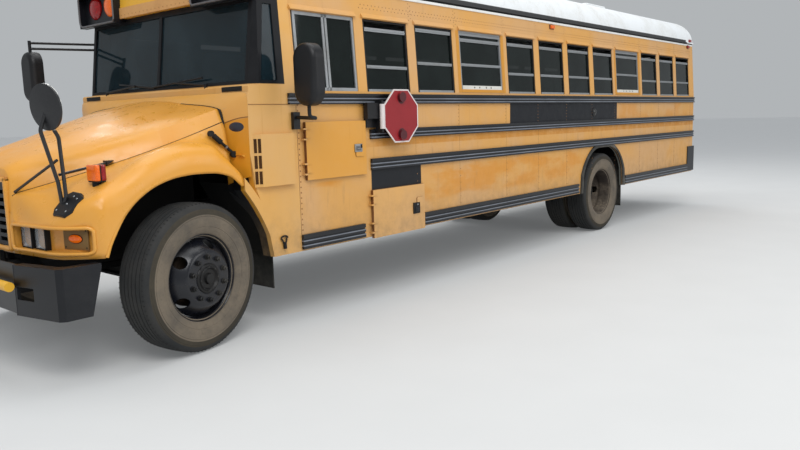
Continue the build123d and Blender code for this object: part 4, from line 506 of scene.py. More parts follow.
class Batch:
    """Gathers points and faces, then makes one mesh that rides a body."""

    def __init__(self, name):
        self.name = name
        self.points = []
        self.faces = []
        self.marks = []
        self.looks = []

    def add(self, points, faces, look, place=None):
        if look not in self.looks:
            self.looks.append(look)
        base = len(self.points)
        self.points += [tuple(place @ Vector(p)) if place else tuple(p) for p in points]
        self.faces += [[base + i for i in face] for face in faces]
        self.marks += [self.looks.index(look)] * len(faces)

    def lid(self, ring, look, place=None):
        self.add(ring, [list(range(len(ring)))], look, place)

    def grid(self, rows, look, wrap=False, keep=None, place=None):
        """Quads between rows of points; wrap closes each row, keep(i, j) leaves a cell out."""
        count = len(rows[0])
        faces = []
        for i in range(len(rows) - 1):
            for j in range(count if wrap else count - 1):
                if keep is None or keep(i, j):
                    k = (j + 1) % count
                    faces.append([i * count + j, i * count + k, (i + 1) * count + k, (i + 1) * count + j])
        self.add([p for row in rows for p in row], faces, look, place)

    def loft(self, rings, look, place=None):
        self.grid(rings, look, wrap=True, place=place)

    def tube(self, path, radius, look, sides=8, closed=False):
        path = [Vector(p) for p in path]
        rings = []
        normal = None
        for i, p in enumerate(path):
            ahead = path[(i + 1) % len(path)] if closed or i + 1 < len(path) else p
            behind = path[i - 1] if closed or i else p
            way = (ahead - behind).normalized()
            if normal is None:
                normal = way.orthogonal().normalized()
            normal = (normal - way * normal.dot(way)).normalized()
            other = way.cross(normal)
            rings.append([p + (normal * c + other * s) * radius for c, s in circle(1, sides)])
        if closed:
            rings.append(rings[0])
        self.loft(rings, look)
        if not closed:
            self.lid(rings[0][::-1], look)
            self.lid(rings[-1], look)

    def box(self, x0, x1, y0, y1, z0, z1, look, soft=0.003, place=None, segments=2):
        mesh = bmesh.new()
        size = (abs(x1 - x0), abs(y1 - y0), abs(z1 - z0))
        middle = Matrix.Translation(((x0 + x1) / 2, (y0 + y1) / 2, (z0 + z1) / 2))
        bmesh.ops.create_cube(mesh, size=1, matrix=middle @ Matrix.Diagonal((*size, 1)))
        bmesh.ops.bevel(mesh, geom=list(mesh.edges), offset=min(soft, 0.45 * min(size)), segments=segments,
                        profile=0.6, affect="EDGES")
        mesh.verts.index_update()
        faces = [[v.index for v in f.verts] for f in mesh.faces]
        self.add([v.co.copy() for v in mesh.verts], faces, look, place)
        mesh.free()

    def block(self, side, x, d, z, look, soft=0.003, segments=2):
        """A box on one side of the bus, from pairs: x outwards, d behind the datum, and z."""
        self.box(side * x[0], side * x[1], along(d[0]), along(d[1]), *z, look, soft, segments=segments)

    def lathe(self, profile, looks, place, count):
        """Profile of (along the axis, radius) points turned about the local X axis."""
        for i in range(len(profile) - 1):
            rows = [[(a, *p) for p in circle(r, count)] for a, r in profile[i:i + 2]]
            self.loft(rows, looks if isinstance(looks, str) else looks[i], place)

    def rivet(self, at, out, radius, look, sides=6):
        ring = circle(radius, sides)
        faces = [[k, (k + 1) % sides, sides + (k + 1) % sides, sides + k] for k in range(sides)]
        self.add([(x, y, -0.0004) for x, y in ring] + [(x * 0.6, y * 0.6, radius * 0.42) for x, y in ring],
                 faces + [list(range(sides, 2 * sides))], look, aim(at, out))

    def disc(self, at, out, radius, dome, look, sides=24, rings=4, oval=1.0):
        rows = [[(*p, dome) for p in circle(0.001, sides)]]
        for i in range(1, rings + 1):
            t = i / rings
            rise = dome * math.sqrt(max(0.0, 1 - t * t * 0.96))
            rows.append([(x * oval, y, rise) for x, y in circle(radius * t, sides)])
        self.loft(rows, look, aim(at, out))
        self.lid(rows[0], look, aim(at, out))

    def make(self, body, *replaced, slot, angle=38, doubles=False):
        mesh = bpy.data.meshes.new(self.name)
        mesh.from_pydata(self.points, [], self.faces)
        for look in self.looks:
            mesh.materials.append(materials[look])
        mesh.polygons.foreach_set("material_index", self.marks)
        work = bmesh.new()
        work.from_mesh(mesh)
        if doubles:
            bmesh.ops.remove_doubles(work, verts=list(work.verts), dist=0.0002)
        bmesh.ops.recalc_face_normals(work, faces=list(work.faces))
        work.to_mesh(mesh)
        work.free()
        mesh.polygons.foreach_set("use_smooth", [True] * len(mesh.polygons))
        mesh.set_sharp_from_angle(angle=math.radians(angle))
        obj = bpy.data.objects.new(self.name, mesh)
        scene.collection.objects.link(obj)
        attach(obj, body)
        if replaced:
            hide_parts(*replaced)
        return obj


# Hood: one smooth skin with the fenders, lamp recesses, liners and hinge ears
HOOD_STATIONS = (
    (-0.955, 1.33, 0.4, 1.318, 0.468, 1.262, 0.486, 1.15),
    (-0.86, 1.388, 0.412, 1.364, 0.52, 1.295, 0.56, 1.18),
    (-0.56, 1.49, 0.448, 1.455, 0.672, 1.38, 0.722, 1.272),
    (-0.26, 1.586, 0.484, 1.548, 0.805, 1.475, 0.858, 1.368),
    (0.06, 1.69, 0.518, 1.645, 0.915, 1.572, 0.94, 1.474),
    (0.35, 1.762, 0.55, 1.722, 0.988, 1.668, 1.012, 1.582),
)
CROWN = ((-0.99, 0.99), (-0.945, 1.004), (-0.9, 1.026), (-0.85, 1.064), (-0.813, 1.102), (-0.698, 1.173),
         (-0.537, 1.267), (-0.369, 1.365), (-0.197, 1.425), (-0.048, 1.446), (0.136, 1.432),
         (0.228, 1.366), (0.288, 1.3), (0.36, 1.236))
OUTLINE = ((-0.985, 0.0), (-0.972, 0.45), (-0.958, 0.62), (-0.945, 0.725), (-0.932, 0.9), (-0.915, 0.985),
           (-0.881, 1.048), (-0.83, 1.113), (-0.769, 1.17), (-0.7, 1.212), (-0.56, 1.219), (0.35, 1.219))
LIP = ((-0.76, 0.48), (-0.714, 0.765), (-0.645, 0.912), (-0.56, 1.035), (-0.45, 1.128), (-0.33, 1.19),
       (-0.18, 1.229), (-0.03, 1.24), (0.11, 1.235), (0.24, 1.205), (0.35, 1.118))
NOSE_D = -0.955
BROW_D = -0.9599
ARCH_D = -0.714
FOOT_Z = 0.765
LAMP_X = (0.5, 1.165)
LAMP_Z = (0.804, 0.95)
LAMP_PLATE = ((0.489, -0.912), (0.82, -0.88), (1.05, -0.806), (1.2, -0.716))
GRILLE_X = 0.43
HINGE_X = (0.27, 0.328)


def station(d):
    """Section of the upper hood at a distance: crest, crease x and z, shoulder x and z, seam x and z."""
    return [smooth([(row[0], row[k]) for row in HOOD_STATIONS], max(d, NOSE_D)) for k in range(1, 8)]


def front_of(x):
    """Distance of the nose at a place across."""
    return smooth([(w, d) for d, w in OUTLINE[:-2]], x)


def hood_z(x, d):
    """Height of the hood and fender skin."""
    crest, crease_x, crease_z, shoulder_x, shoulder_z, seam_x, seam_z = station(d)
    crown = smooth(CROWN, d)
    nose = ease((d + 0.978) / 0.028)
    width = smooth(OUTLINE, d)
    if x <= seam_x:
        section = [(0, crest), (crease_x * 0.55, lerp(crest, crease_z, 0.3)), (crease_x, crease_z),
                   (lerp(crease_x, shoulder_x, 0.55), lerp(crease_z, shoulder_z, 0.36)),
                   (shoulder_x, shoulder_z), (seam_x, seam_z)]
        z = lerp(crown, smooth(section, x), nose)
    else:
        far = max(seam_x + 0.06, lerp(min(1.1, width - 0.1), seam_x + 0.085, ease((d - 0.05) / 0.25)))
        z = lerp(lerp(crown, seam_z, nose), crown, ease((x - seam_x) / (far - seam_x)))
    # Round towards the outline in plan
    gone = min(width - x, (d - front_of(min(x, 1.2))) * 0.9)
    side = ease((d + 0.86) / 0.3)
    reach = lerp(0.05, 0.12, side)
    drop = lerp(0.045, min(0.15, max(0.02, crown - smooth(LIP, d) - 0.03)), side)
    if gone < reach:
        z -= drop * (1 - math.sqrt(max(0.0, 1 - ((reach - gone) / reach) ** 2)))
    return z


def hood_rows():
    """Places along the hood: close together at the nose, where each meets a place across it."""
    across = (0.0, 0.14, *HINGE_X, 0.36, 0.43, 0.465, 0.5, 0.56, 0.62, 0.68, 0.725, 0.78, 0.84, 0.9, 0.945,
              0.985, 1.02, 1.048, 1.08, 1.113, 1.14, 1.165, 1.178, 1.19, 1.2, 1.207, 1.212)
    rows = sorted({round(front_of(x), 5) for x in across} | {-0.978, -0.96, -0.95})
    return rows + steps(-0.7, 0.35, 44)[1:]


def hood_columns(d):
    """Places across: on the grille's edge or the crease, on the seam, then close together at the side."""
    width = smooth(OUTLINE, d)
    _, crease_x, *_, seam_x, _ = station(d)
    inner = min(lerp(GRILLE_X, crease_x, ease((d + 0.945) / 0.12)), 0.6 * width)
    seam = min(seam_x, max(inner + 0.01, 0.87 * width))
    return (steps(0, inner, 10)[:-1] + steps(inner, seam, 9)[:-1]
            + [lerp(seam, width, 1 - (1 - k / 16) ** 1.7) for k in range(17)])


def plate_d(x):
    """Distance of the flat plate behind the lamps."""
    return next(lerp(a[1], b[1], (x - a[0]) / (b[0] - a[0])) for a, b in zip(LAMP_PLATE, LAMP_PLATE[1:])
                if b[0] >= x - 1e-6)


def add_hood_skin():
    b = Batch("hood_skin")
    rows = hood_rows()
    for side in SIDES:
        skin = [[(side * x, along(d), hood_z(x, d)) for x in hood_columns(d)] for d in rows]
        curtain = []
        for d, line in zip(rows, skin):
            x, y, z = line[-1]
            if d <= ARCH_D:
                levels = (z, lerp(z, LAMP_Z[1], 0.5), LAMP_Z[1], sum(LAMP_Z) / 2, LAMP_Z[0], FOOT_Z)
            else:
                levels = steps(z, smooth(LIP, d), 5)
            curtain.append([(x, y, level) for level in levels])

        def top_kept(i, j):
            middle = abs(sum(p[0] for line in skin[i:i + 2] for p in line[j:j + 2])) / 4
            return rows[i + 1] > BROW_D or middle > GRILLE_X + 0.004

        def wall_kept(i, j):
            middle = abs(curtain[i][0][0] + curtain[i + 1][0][0]) / 2
            in_lamp = LAMP_X[0] < middle < LAMP_X[1] and j in (2, 3)
            in_hinge = HINGE_X[0] < middle < HINGE_X[1] and j == 4
            return rows[i] >= ARCH_D or not (in_lamp or in_hinge or (middle < GRILLE_X and j < 4))

        b.grid(skin, "hood_yellow", keep=top_kept)
        b.grid(curtain, "hood_yellow", keep=wall_kept)
    skin = b.make("hood", "hood_shell", slot="hood_yellow", angle=42, doubles=True)
    thick = skin.modifiers.new("thickness", "SOLIDIFY")
    thick.thickness = 0.018
    thick.offset = -1
    skin.data.materials.append(materials["chassis_black"])
    thick.material_offset = 1
    thick.material_offset_rim = 0
    if sum(p.normal.z * p.area for p in skin.data.polygons) < 0:
        skin.data.flip_normals()


def add_hood_trim():
    t = Batch("hood_trim")
    for side in SIDES:
        # Lamp recess: shelf, roof, plate and ends, with a rounded border in front
        across = steps(*LAMP_X, 16)
        low, high = [[[spot(side, x, edge(x), z) for x in across] for edge in (front_of, plate_d)]
                     for z in LAMP_Z]
        ends = [[[row[0][k], row[1][k]] for row in (low, high)] for k in (0, -1)]
        for rows in (low, high, (low[1], high[1]), *ends):
            t.grid(rows, "hood_yellow")
        corner = 0.03
        x0, x1 = LAMP_X[0] - 0.008 + corner, LAMP_X[1] + 0.008 - corner
        z0, z1 = LAMP_Z[0] - 0.006 + corner, LAMP_Z[1] + 0.01 - corner
        arc = circle(corner, 20)
        arc = arc + arc[:1]
        loop = [(x + u, z + v) for k, (x, z) in enumerate(((x1, z1), (x0, z1), (x0, z0), (x1, z0)))
                for u, v in arc[5 * k:5 * k + 6]]
        fine = []
        for (xa, za), (xb, zb) in zip(loop, loop[1:] + loop[:1]):
            count = max(1, int(abs(xb - xa) / 0.04))
            fine += list(zip(steps(xa, xb, count), steps(za, zb, count)))[:-1]
        rim = [spot(side, x, front_of(x) - 0.003, z) for x, z in fine]
        t.tube(rim, 0.012, "hood_yellow", 10, closed=True)
        # Seam between hood top and fender, the seal at the rear and a rolled lip on the arch
        seam = [(station(d)[5], d) for d in steps(-0.95, 0.348, 60)]
        t.tube([spot(side, x, d, hood_z(x, d) - 0.0005) for x, d in seam], 0.0034, "rubber", 6)
        seal = [(x, hood_z(x, 0.35) - 0.004) for x in steps(0.5, 1.012, 16)] + [(1.014, 1.5), (1.014, 1.4)]
        t.tube([spot(side, x, 0.3535, z) for x, z in seal], 0.008, "rubber", 6)
        lip = [spot(side, 1.208, d, smooth(LIP, d) + 0.004) for d in steps(ARCH_D, 0.346, 40)]
        t.tube(lip, 0.011, "hood_yellow")
        # Double liner between the engine and the wheel, and the hinge ear under the grille
        for x in (0.6, 0.604):
            foot = [spot(side, x, d, 0.69) for d in steps(-0.86, 0.34, 24)]
            head = [spot(side, x, d, hood_z(0.62, d) - 0.03) for d in steps(-0.86, 0.34, 24)]
            t.grid([foot, head], "chassis_black")
        t.block(side, (0.35, 0.364), (-0.962, -0.916), (0.746, 0.8), "chassis_black", 0.004)
    # Grille surround
    for x0, x1, z0, z1 in ((-0.462, -0.43, 0.77, 1.26), (-0.462, 0.462, 1.228, 1.26),
                           (0.43, 0.462, 0.77, 1.26), (-0.462, 0.462, 0.77, 0.802)):
        t.block(1, (x0, x1), (-0.984, -0.925), (z0, z1), "hood_yellow", 0.012, 3)
    t.make("hood", slot="hood_yellow")


add_hood_skin()
add_hood_trim()


# Cowl: a smooth crown behind the hood on each side, slots, badge, latch and the lining of the wheel house
COWL_FRONT_X = (0.3, 0.55, 0.78, 0.93, 0.988, 1.008, 1.014, 1.016, 1.018, 1.02, 1.022)
COWL_FRONT_Z = (1.748, 1.722, 1.703, 1.684, 1.662, 1.61, 1.54, 1.42, 1.3, 1.2, 1.12)
COWL_REAR_X = (0.3, 0.55, 0.85, 1.11, 1.2, 1.2215, 1.2215, 1.2215, 1.2215, 1.2215, 1.2215)
COWL_REAR_Z = (1.792, 1.791, 1.791, 1.791, 1.778, 1.72, 1.61, 1.46, 1.33, 1.25, 1.185)
COWL_REAR_D = (0.43, 0.43, 0.43, 0.428, 0.424, 0.418, 0.418, 0.418, 0.418, 0.42, 0.424)


def cowl_point(share, t):
    """On the crown: share runs from the middle down the section, t from the hood to the cab's corner."""
    columns = (COWL_FRONT_X, COWL_FRONT_Z, COWL_REAR_X, COWL_REAR_Z, COWL_REAR_D)
    fx, fz, rx, rz, rd = [smooth(list(enumerate(column)), share * (len(column) - 1)) for column in columns]
    bow = math.sin(math.pi * t) * 0.004
    return lerp(fx, rx, t), along(lerp(0.361, rd, t)) - bow * 0.3, lerp(fz, rz, t) + bow


def add_cowl():
    b = Batch("cowl_crown")
    for side in SIDES:
        rows = [[cowl_point(s / 40, t / 10) for s in range(41)] for t in range(11)]
        b.grid([[(side * x, y, z) for x, y, z in row] for row in rows], "cheek_yellow")
    b.grid([[(x, row[0][1], row[0][2]) for x in (-0.3, -0.1, 0.1, 0.3)] for row in rows], "cheek_yellow")
    b.make("coach", angle=60, slot="coach_yellow", doubles=True)

    t = Batch("cowl_trim")
    for side in SIDES:
        # Seams: on from the hood, under the ledge and down the rear of the cowl, with its rivets
        seam = [cowl_point(0.562 + 0.0036 * k, k / 10) for k in range(11)]
        t.tube([(side * (x + 0.001), y - 0.001, z) for x, y, z in seam], 0.003, "old_seam", 6)
        ledge = [spot(side, HALF_WIDTH + 0.0005, d, 1.7) for d in steps(0.426, 0.806, 10)]
        t.tube(ledge, 0.0028, "old_seam", 6)
        x0, x1 = (0.913, 1.15) if side > 0 else (0.895, 1.14)
        t.block(side, (x0, x1), (0.428, 0.44), (1.799, 1.834), "sash_black", 0.005)
        for k in range(27):
            t.rivet(spot(side, HALF_WIDTH, 0.896, 0.6 + 0.042 * k), (side, 0, 0), 0.0075, "rivet_brown")
        t.block(side, (1.2185, 1.2197), (0.8785, 0.8835), (0.57, 1.69), "old_seam", 0.0003, 1)
        # Louvres in the slanted front of the intake box
        for column in (0.08, 0.56):
            for z0, z1 in ((1.122, 1.216), (1.236, 1.33), (1.35, 1.452)):
                foot = spot(side, lerp(1.219, 1.259, column), lerp(0.45, 0.5, column), 0)
                turn = Matrix.Translation(foot) @ Matrix.Rotation(side * math.atan2(0.05, 0.04), 4, "Z")
                t.box(side * 0.001, side * 0.023, -0.0025, 0.002, z0, z1, "shadow_brown", 0.0008, turn, 1)
        # Lining of the wheel house behind the wheel and on the engine's side
        slope = ((0.35, 1.118), (0.43, 0.985), (0.52, 0.83), (0.565, 0.73), (0.6, 0.58))
        line = [(along(d + 0.012), smooth(slope, d)) for d in steps(0.35, 0.6, 14)]
        t.grid([[(side * x, y, z + 0.01) for y, z in line] for x in (0.66, 0.8, 0.95, 1.1, 1.205)],
               "chassis_black")
        t.grid([[(side * 0.66, y, z) for y, z in line], [(side * 0.66, y, 1.3) for y, z in line]],
               "chassis_black")
        t.block(side, (0.56, 0.572), (-0.83, 0.26), (0.62, 1.02), "chassis_black", 0.004)
    # Oval badge, bare
    for side in SIDES:
        out = Vector((side * 0.27, -0.96, 0.0))
        middle = spot(side, 1.1213, 0.393, 1.5415)
        t.disc(middle, out, 0.043, 0.003, "window_aluminium", 32, 3, oval=1.72)
        t.disc(middle + out * 0.002, out, 0.039, 0.004, "badge", 32, 4, oval=1.78)
    t.make("coach", angle=40, slot="black_plastic")

    # Rubber hood latch: the pull on the hood and its keeper on the cowl
    latch = Batch("hood_latches")
    for side in SIDES:
        a = spot(side, 1.045, 0.222, 1.5)
        c = spot(side, 1.09, 0.378, 1.345)
        latch.tube([lerp(a, c, k / 5) for k in range(6)], 0.011, "rubber")
        for p, r in ((a, 0.022), (c, 0.024)):
            ends = [p + Vector((side * x, y, 0)) for x, y in ((-0.02, 0.004), (0.01, -0.004))]
            latch.tube(ends, r, "rubber", 12)
        latch.tube([lerp(a, c, 0.1), lerp(a, c, 0.42)], 0.02, "rubber", 10)
        latch.tube([lerp(a, c, 0.62), lerp(a, c, 0.68)], 0.015, "bare_steel", 10)
    latch.make("hood", slot="rubber")


add_cowl()


# Windows: dropped upper sashes, and framed push-out windows with a bolted rail
WINDOW_POST = 0.114


def window_spans():
    """Front and rear of the windows in each side, and if it is a push-out one."""
    spans = []
    front = 1.692
    for number in range(1, 12):
        push_out = number in (3, 8)
        width = 0.748 if push_out else 0.572
        spans.append((along(front), along(front + width), push_out))
        front += width + WINDOW_POST
    return spans


SPANS = window_spans()


def slab(batch, side, y0, y1, z0, z1, out, depth, look):
    """A bar in the side of the body that leans with it; out is how far it stands out."""
    corners = []
    for z in (z0, z1):
        outside, inside = side * (side_x(z) + out), side * (side_x(z) + out - depth)
        corners += [(outside, y0, z), (outside, y1, z), (inside, y1, z), (inside, y0, z)]
    faces = ((0, 1, 2, 3), (7, 6, 5, 4), (0, 4, 5, 1), (1, 5, 6, 2), (2, 6, 7, 3), (3, 7, 4, 0))
    batch.add(corners, faces, look)


def add_windows():
    w = Batch("window_sashes")
    g = Batch("window_panes")
    low, top, edge = 1.8035, 2.4045, 0.022
    metal = "window_aluminium"
    for side in SIDES:
        for number, (y0, y1, push_out) in enumerate(SPANS):
            look = metal if push_out else "sash_black"
            inner = (y0 + edge, y1 - edge)
            for a, b in ((y0, y0 + edge), (y1 - edge, y1)):
                slab(w, side, a + 0.0003, b - 0.0003, low, top, -0.006, 0.026, look)
            slab(w, side, *inner, top - 0.018, top, -0.006, 0.026, look)
            slab(w, side, *inner, low, low + 0.02, -0.003, 0.03, metal)
            middle, bar = (2.066, 2.364) if number == 1 else (2.012, 2.322)
            foot = low + 0.02
            if push_out:
                middle, bar, foot = 2.078, 2.318, 1.876
                slab(w, side, *inner, 2.362, 2.384, -0.005, 0.024, metal)
                slab(w, side, *inner, 1.838, foot, -0.002, 0.028, "sill_white")
                slab(w, side, y0 + 0.001, y1 - 0.001, 1.806, 1.838, 0.001, 0.01, "deep_yellow")
                for k in (0.3, 0.42, 0.58, 0.7):
                    w.rivet((side * (side_x(1.857) - 0.002), lerp(y0, y1, k), 1.857), (side, 0, 0), 0.009,
                            "sash_black", 8)
                for a, b in ((y0 - 0.05, y0 - 0.004), (y1 + 0.004, y1 + 0.05)):
                    slab(w, side, a, b, 1.806, 2.404, 0.002, 0.004, "deep_yellow")
            for z, half in ((middle, 0.013), (bar, 0.016)):
                slab(w, side, *inner, z - half, z + half, -0.006, 0.022, metal)
                slab(w, side, *inner, z - half * 0.2, z + half * 0.2, -0.003, 0.022, metal)
            slab(g, side, *inner, foot, middle, -0.014, 0.005, "clear_glass")
            slab(g, side, *inner, middle, top - 0.018 if push_out else bar, -0.021, 0.005, "clear_glass")
    # Driver's window: two panes
    y0, split, y1 = along(0.919), along(1.252), along(1.583)
    for a, b in ((y0, y0 + 0.026), (y1 - 0.026, y1), (split - 0.03, split - 0.006),
                 (split + 0.004, split + 0.028)):
        slab(w, 1, a + 0.0003, b - 0.0003, low, top, -0.006, 0.026, metal)
    for z0, z1 in ((low, 1.83), (2.378, top)):
        slab(w, 1, y0 + 0.026, y1 - 0.026, z0, z1, -0.006, 0.026, metal)
    slab(g, 1, y0 + 0.026, split - 0.03, 1.83, 2.378, -0.014, 0.005, "clear_glass")
    slab(g, 1, split + 0.028, y1 - 0.026, 1.83, 2.378, -0.018, 0.005, "clear_glass")
    # Rear windows in rubber
    for side in SIDES:
        g.box(side * 0.611, side * 1.029, 5.36, 5.368, 1.804, 2.404, "clear_glass", 0.001)
        for x0, x1, z0, z1 in border(0.611, 1.029, 1.804, 2.404, 0.02):
            w.box(side * x0, side * x1, 5.356, 5.382, z0, z1, "rubber")
    w.make("coach", "window_frames", slot=metal)
    g.make("coach", "window_glass", slot="clear_glass")


add_windows()


# Side trim: rivets, seams, drip rail and marker lamps
def add_sides():
    r = Batch("rivets")
    for side in SIDES:
        start = 1.66 if side > 0 else 1.7
        for k in range(int((9.6 - start) / 0.046)):
            for z, shift in ((2.492, 0.0), (2.52, 0.023)):
                place = spot(side, side_x(z), start + 0.046 * k + shift, z)
                r.rivet(place, (side, 0, 0.06), 0.0056, "rivet_brown")
        for _, y1, _ in SPANS:
            post = y1 + WINDOW_POST / 2
            for k in range(6):
                for shift, z in ((-0.012, 1.5 + 0.036 * k), (0.012, 0.72 + 0.068 * k)):
                    r.rivet((side * HALF_WIDTH, post + shift, z), (side, 0, 0), 0.0056, "rivet_brown")
            for k in range(9):
                z = 2.44 + 0.018 * k
                place = (side * side_x(z), post + (0.014 if k % 2 else -0.014), z)
                r.rivet(place, (side, 0, 0.06), 0.005, "rivet_brown")
    for x in steps(-1.0, 1.0, 40):
        if abs(x) > 0.52:
            r.rivet((x, along(9.69), 1.74), (0, 1, 0), 0.005, "coach_yellow")
    r.make("coach", slot="coach_yellow")

    s = Batch("panel_seams")
    for side in SIDES:
        for _, y1, _ in SPANS:
            post = y1 + WINDOW_POST / 2 - DATUM_Y
            for z0, z1 in ((0.7, 1.138), (1.238, 1.4), (1.488, 1.696)):
                if (z0 < 1 and (post < 2.4 or 5.6 < post < 6.9)) or (z0 > 1.45 and 3.9 < post < 6.75):
                    continue
                ends = (post - 0.0012, post + 0.0012)
                s.block(side, (1.2186, 1.2196), ends, (z0, z1), "old_seam", 0.0003, 1)
        # White drip rail
        ends = (0.8 if side > 0 else 0.84, 9.66)
        x = side_x(2.62)
        s.block(side, (x - 0.004, x + 0.01), ends, (2.609, 2.634), "white_trim", 0.005)
    s.make("coach", slot="roof_white")

    m = Batch("marker_lamps")
    for side in SIDES:
        for d, z, look in ((4.932, 2.575, "amber_lens"), (9.459, 2.592, "red_lens")):
            x = side_x(z)
            m.block(side, (x - 0.002, x + 0.01), (d - 0.05, d + 0.05), (z - 0.026, z + 0.026), "rust",
                    0.004)
            m.block(side, (x + 0.006, x + 0.03), (d - 0.04, d + 0.04), (z - 0.019, z + 0.019), look,
                    0.009, 3)
        # Round black lamp in the dark field
        for x, radius, dome, look in ((1.22, 0.056, 0.018, "black_plastic"),
                                      (1.229, 0.04, 0.02, "smoked_lens")):
            m.disc(spot(side, x, 5.975, 1.582), (side, 0, 0), radius, dome, look)
    m.make("coach", slot="amber_lens")


add_sides()


# Lamps and mirror feet on the hood
def add_hood_fittings():
    f = Batch("mirror_feet")
    for side in SIDES:
        out = Vector((side * 0.1, -0.7, 0.7)).normalized()
        across = Vector((side * 0.98, 0.14, 0.0)).normalized()
        up = out.cross(across).normalized()
        if up.z < 0:
            up = -up
        middle = spot(side, 0.982, -0.812, 1.098)
        outline = ((-0.09, -0.055), (-0.062, -0.098), (0.05, -0.104), (0.094, -0.062), (0.102, 0.05),
                   (0.06, 0.082), (-0.03, 0.092), (-0.084, 0.052))
        rings = [[middle + (across * u + up * v) * size + out * rise for u, v in outline]
                 for size, rise in ((1.0, -0.03), (1.0, 0.01), (0.97, 0.016), (0.9, 0.019))]
        f.loft(rings, "black_plastic")
        f.lid(rings[-1], "black_plastic")
        for u, v in ((-0.055, -0.06), (0.045, -0.066), (0.066, 0.034), (-0.05, 0.04), (0.005, -0.01),
                     (0.02, 0.05)):
            f.rivet(middle + across * u + up * v + out * 0.019, out, 0.007, "window_aluminium", 8)
    f.make("hood", slot="black_plastic")

    # Two square lamps a side, each a bowl behind ribbed glass
    h = Batch("sealed_lamps")
    g = Batch("lamp_covers")
    z0, z1 = 0.802, 0.957
    for side in SIDES:
        for x0, x1, front in ((0.515, 0.665, -0.93), (0.676, 0.826, -0.914)):
            y = along(front)
            for a, b, c, e in border(x0, x1, z0, z1, 0.01):
                h.box(side * a, side * b, y, y + 0.075, c, e, "sash_black")
            xs, zs = steps(x0 + 0.01, x1 - 0.01, 12), steps(z0 + 0.01, z1 - 0.01, 12)
            reach = [0.5 * u * u for u in steps(-1, 1, 12)]
            h.grid([[(side * x, y + 0.006 + 0.046 * (1 - u - v), z) for v, z in zip(reach, zs)]
                    for u, x in zip(reach, xs)], "chrome")
            h.disc((side * (x0 + x1) / 2, y + 0.04, (z0 + z1) / 2), (0, -1, 0), 0.016, 0.012, "chrome", 16)
            g.box(side * (x0 + 0.009), side * (x1 - 0.009), y + 0.001, y + 0.006, z0 + 0.009, z1 - 0.009,
                  "ribbed_glass", 0.002)
            for x in (x0 + 0.03, x1 - 0.03):
                for z in (z0 - 0.004, z1 + 0.004):
                    h.rivet((side * x, y + 0.02, z), (0, -1, 0), 0.006, "sash_black", 8)
    h.make("hood", "headlamps", slot="lamp_glass")
    g.make("hood", slot="lamp_glass")

    # Turn lamps on bronze plates, and the two-faced lamps on the fenders
    t = Batch("turn_lamps")
    for side in SIDES:
        middle = spot(side, 1.03, -0.8105, 0.886)
        turn = Matrix.Translation(middle - Vector((0, 0, 0.001))) @ Matrix.Rotation(side * 0.315, 4, "Z")
        t.box(-0.1, 0.1, -0.006, 0.006, -0.068, 0.066, "dull_bronze", 0.003, turn)
        out = Vector((side * 0.31, -0.95, 0))
        across = Vector((side * 0.95, 0.31, 0))
        middle += out * 0.006
        t.disc(middle, out, 0.03, 0.004, "sash_black", 32, 3, oval=1.95)
        t.disc(middle + out * 0.002, out, 0.026, 0.014, "amber_lens", 32, 5, oval=2.1)
        for u in (-0.086, 0.086):
            for v in (-0.054, 0.052):
                t.rivet(middle + across * u + Vector((0, 0, v)), out, 0.006, "sash_black", 8)
        t.block(side, (0.955, 1.075), (-0.674, -0.641), (1.232, 1.334), "amber_lens", 0.01, 3)
        t.block(side, (0.955, 1.075), (-0.635, -0.602), (1.232, 1.334), "red_lens", 0.01, 3)
        t.block(side, (0.958, 1.072), (-0.643, -0.633), (1.234, 1.331), "sash_black")
        t.block(side, (0.959, 1.071), (-0.668, -0.608), (1.224, 1.236), "sash_black")
        t.tube([spot(side, 1.015, -0.638, z) for z in (1.15, 1.23)], 0.03, "sash_black", 20)
    t.make("hood", "fender_lamps", slot="amber_lens")


add_hood_fittings()


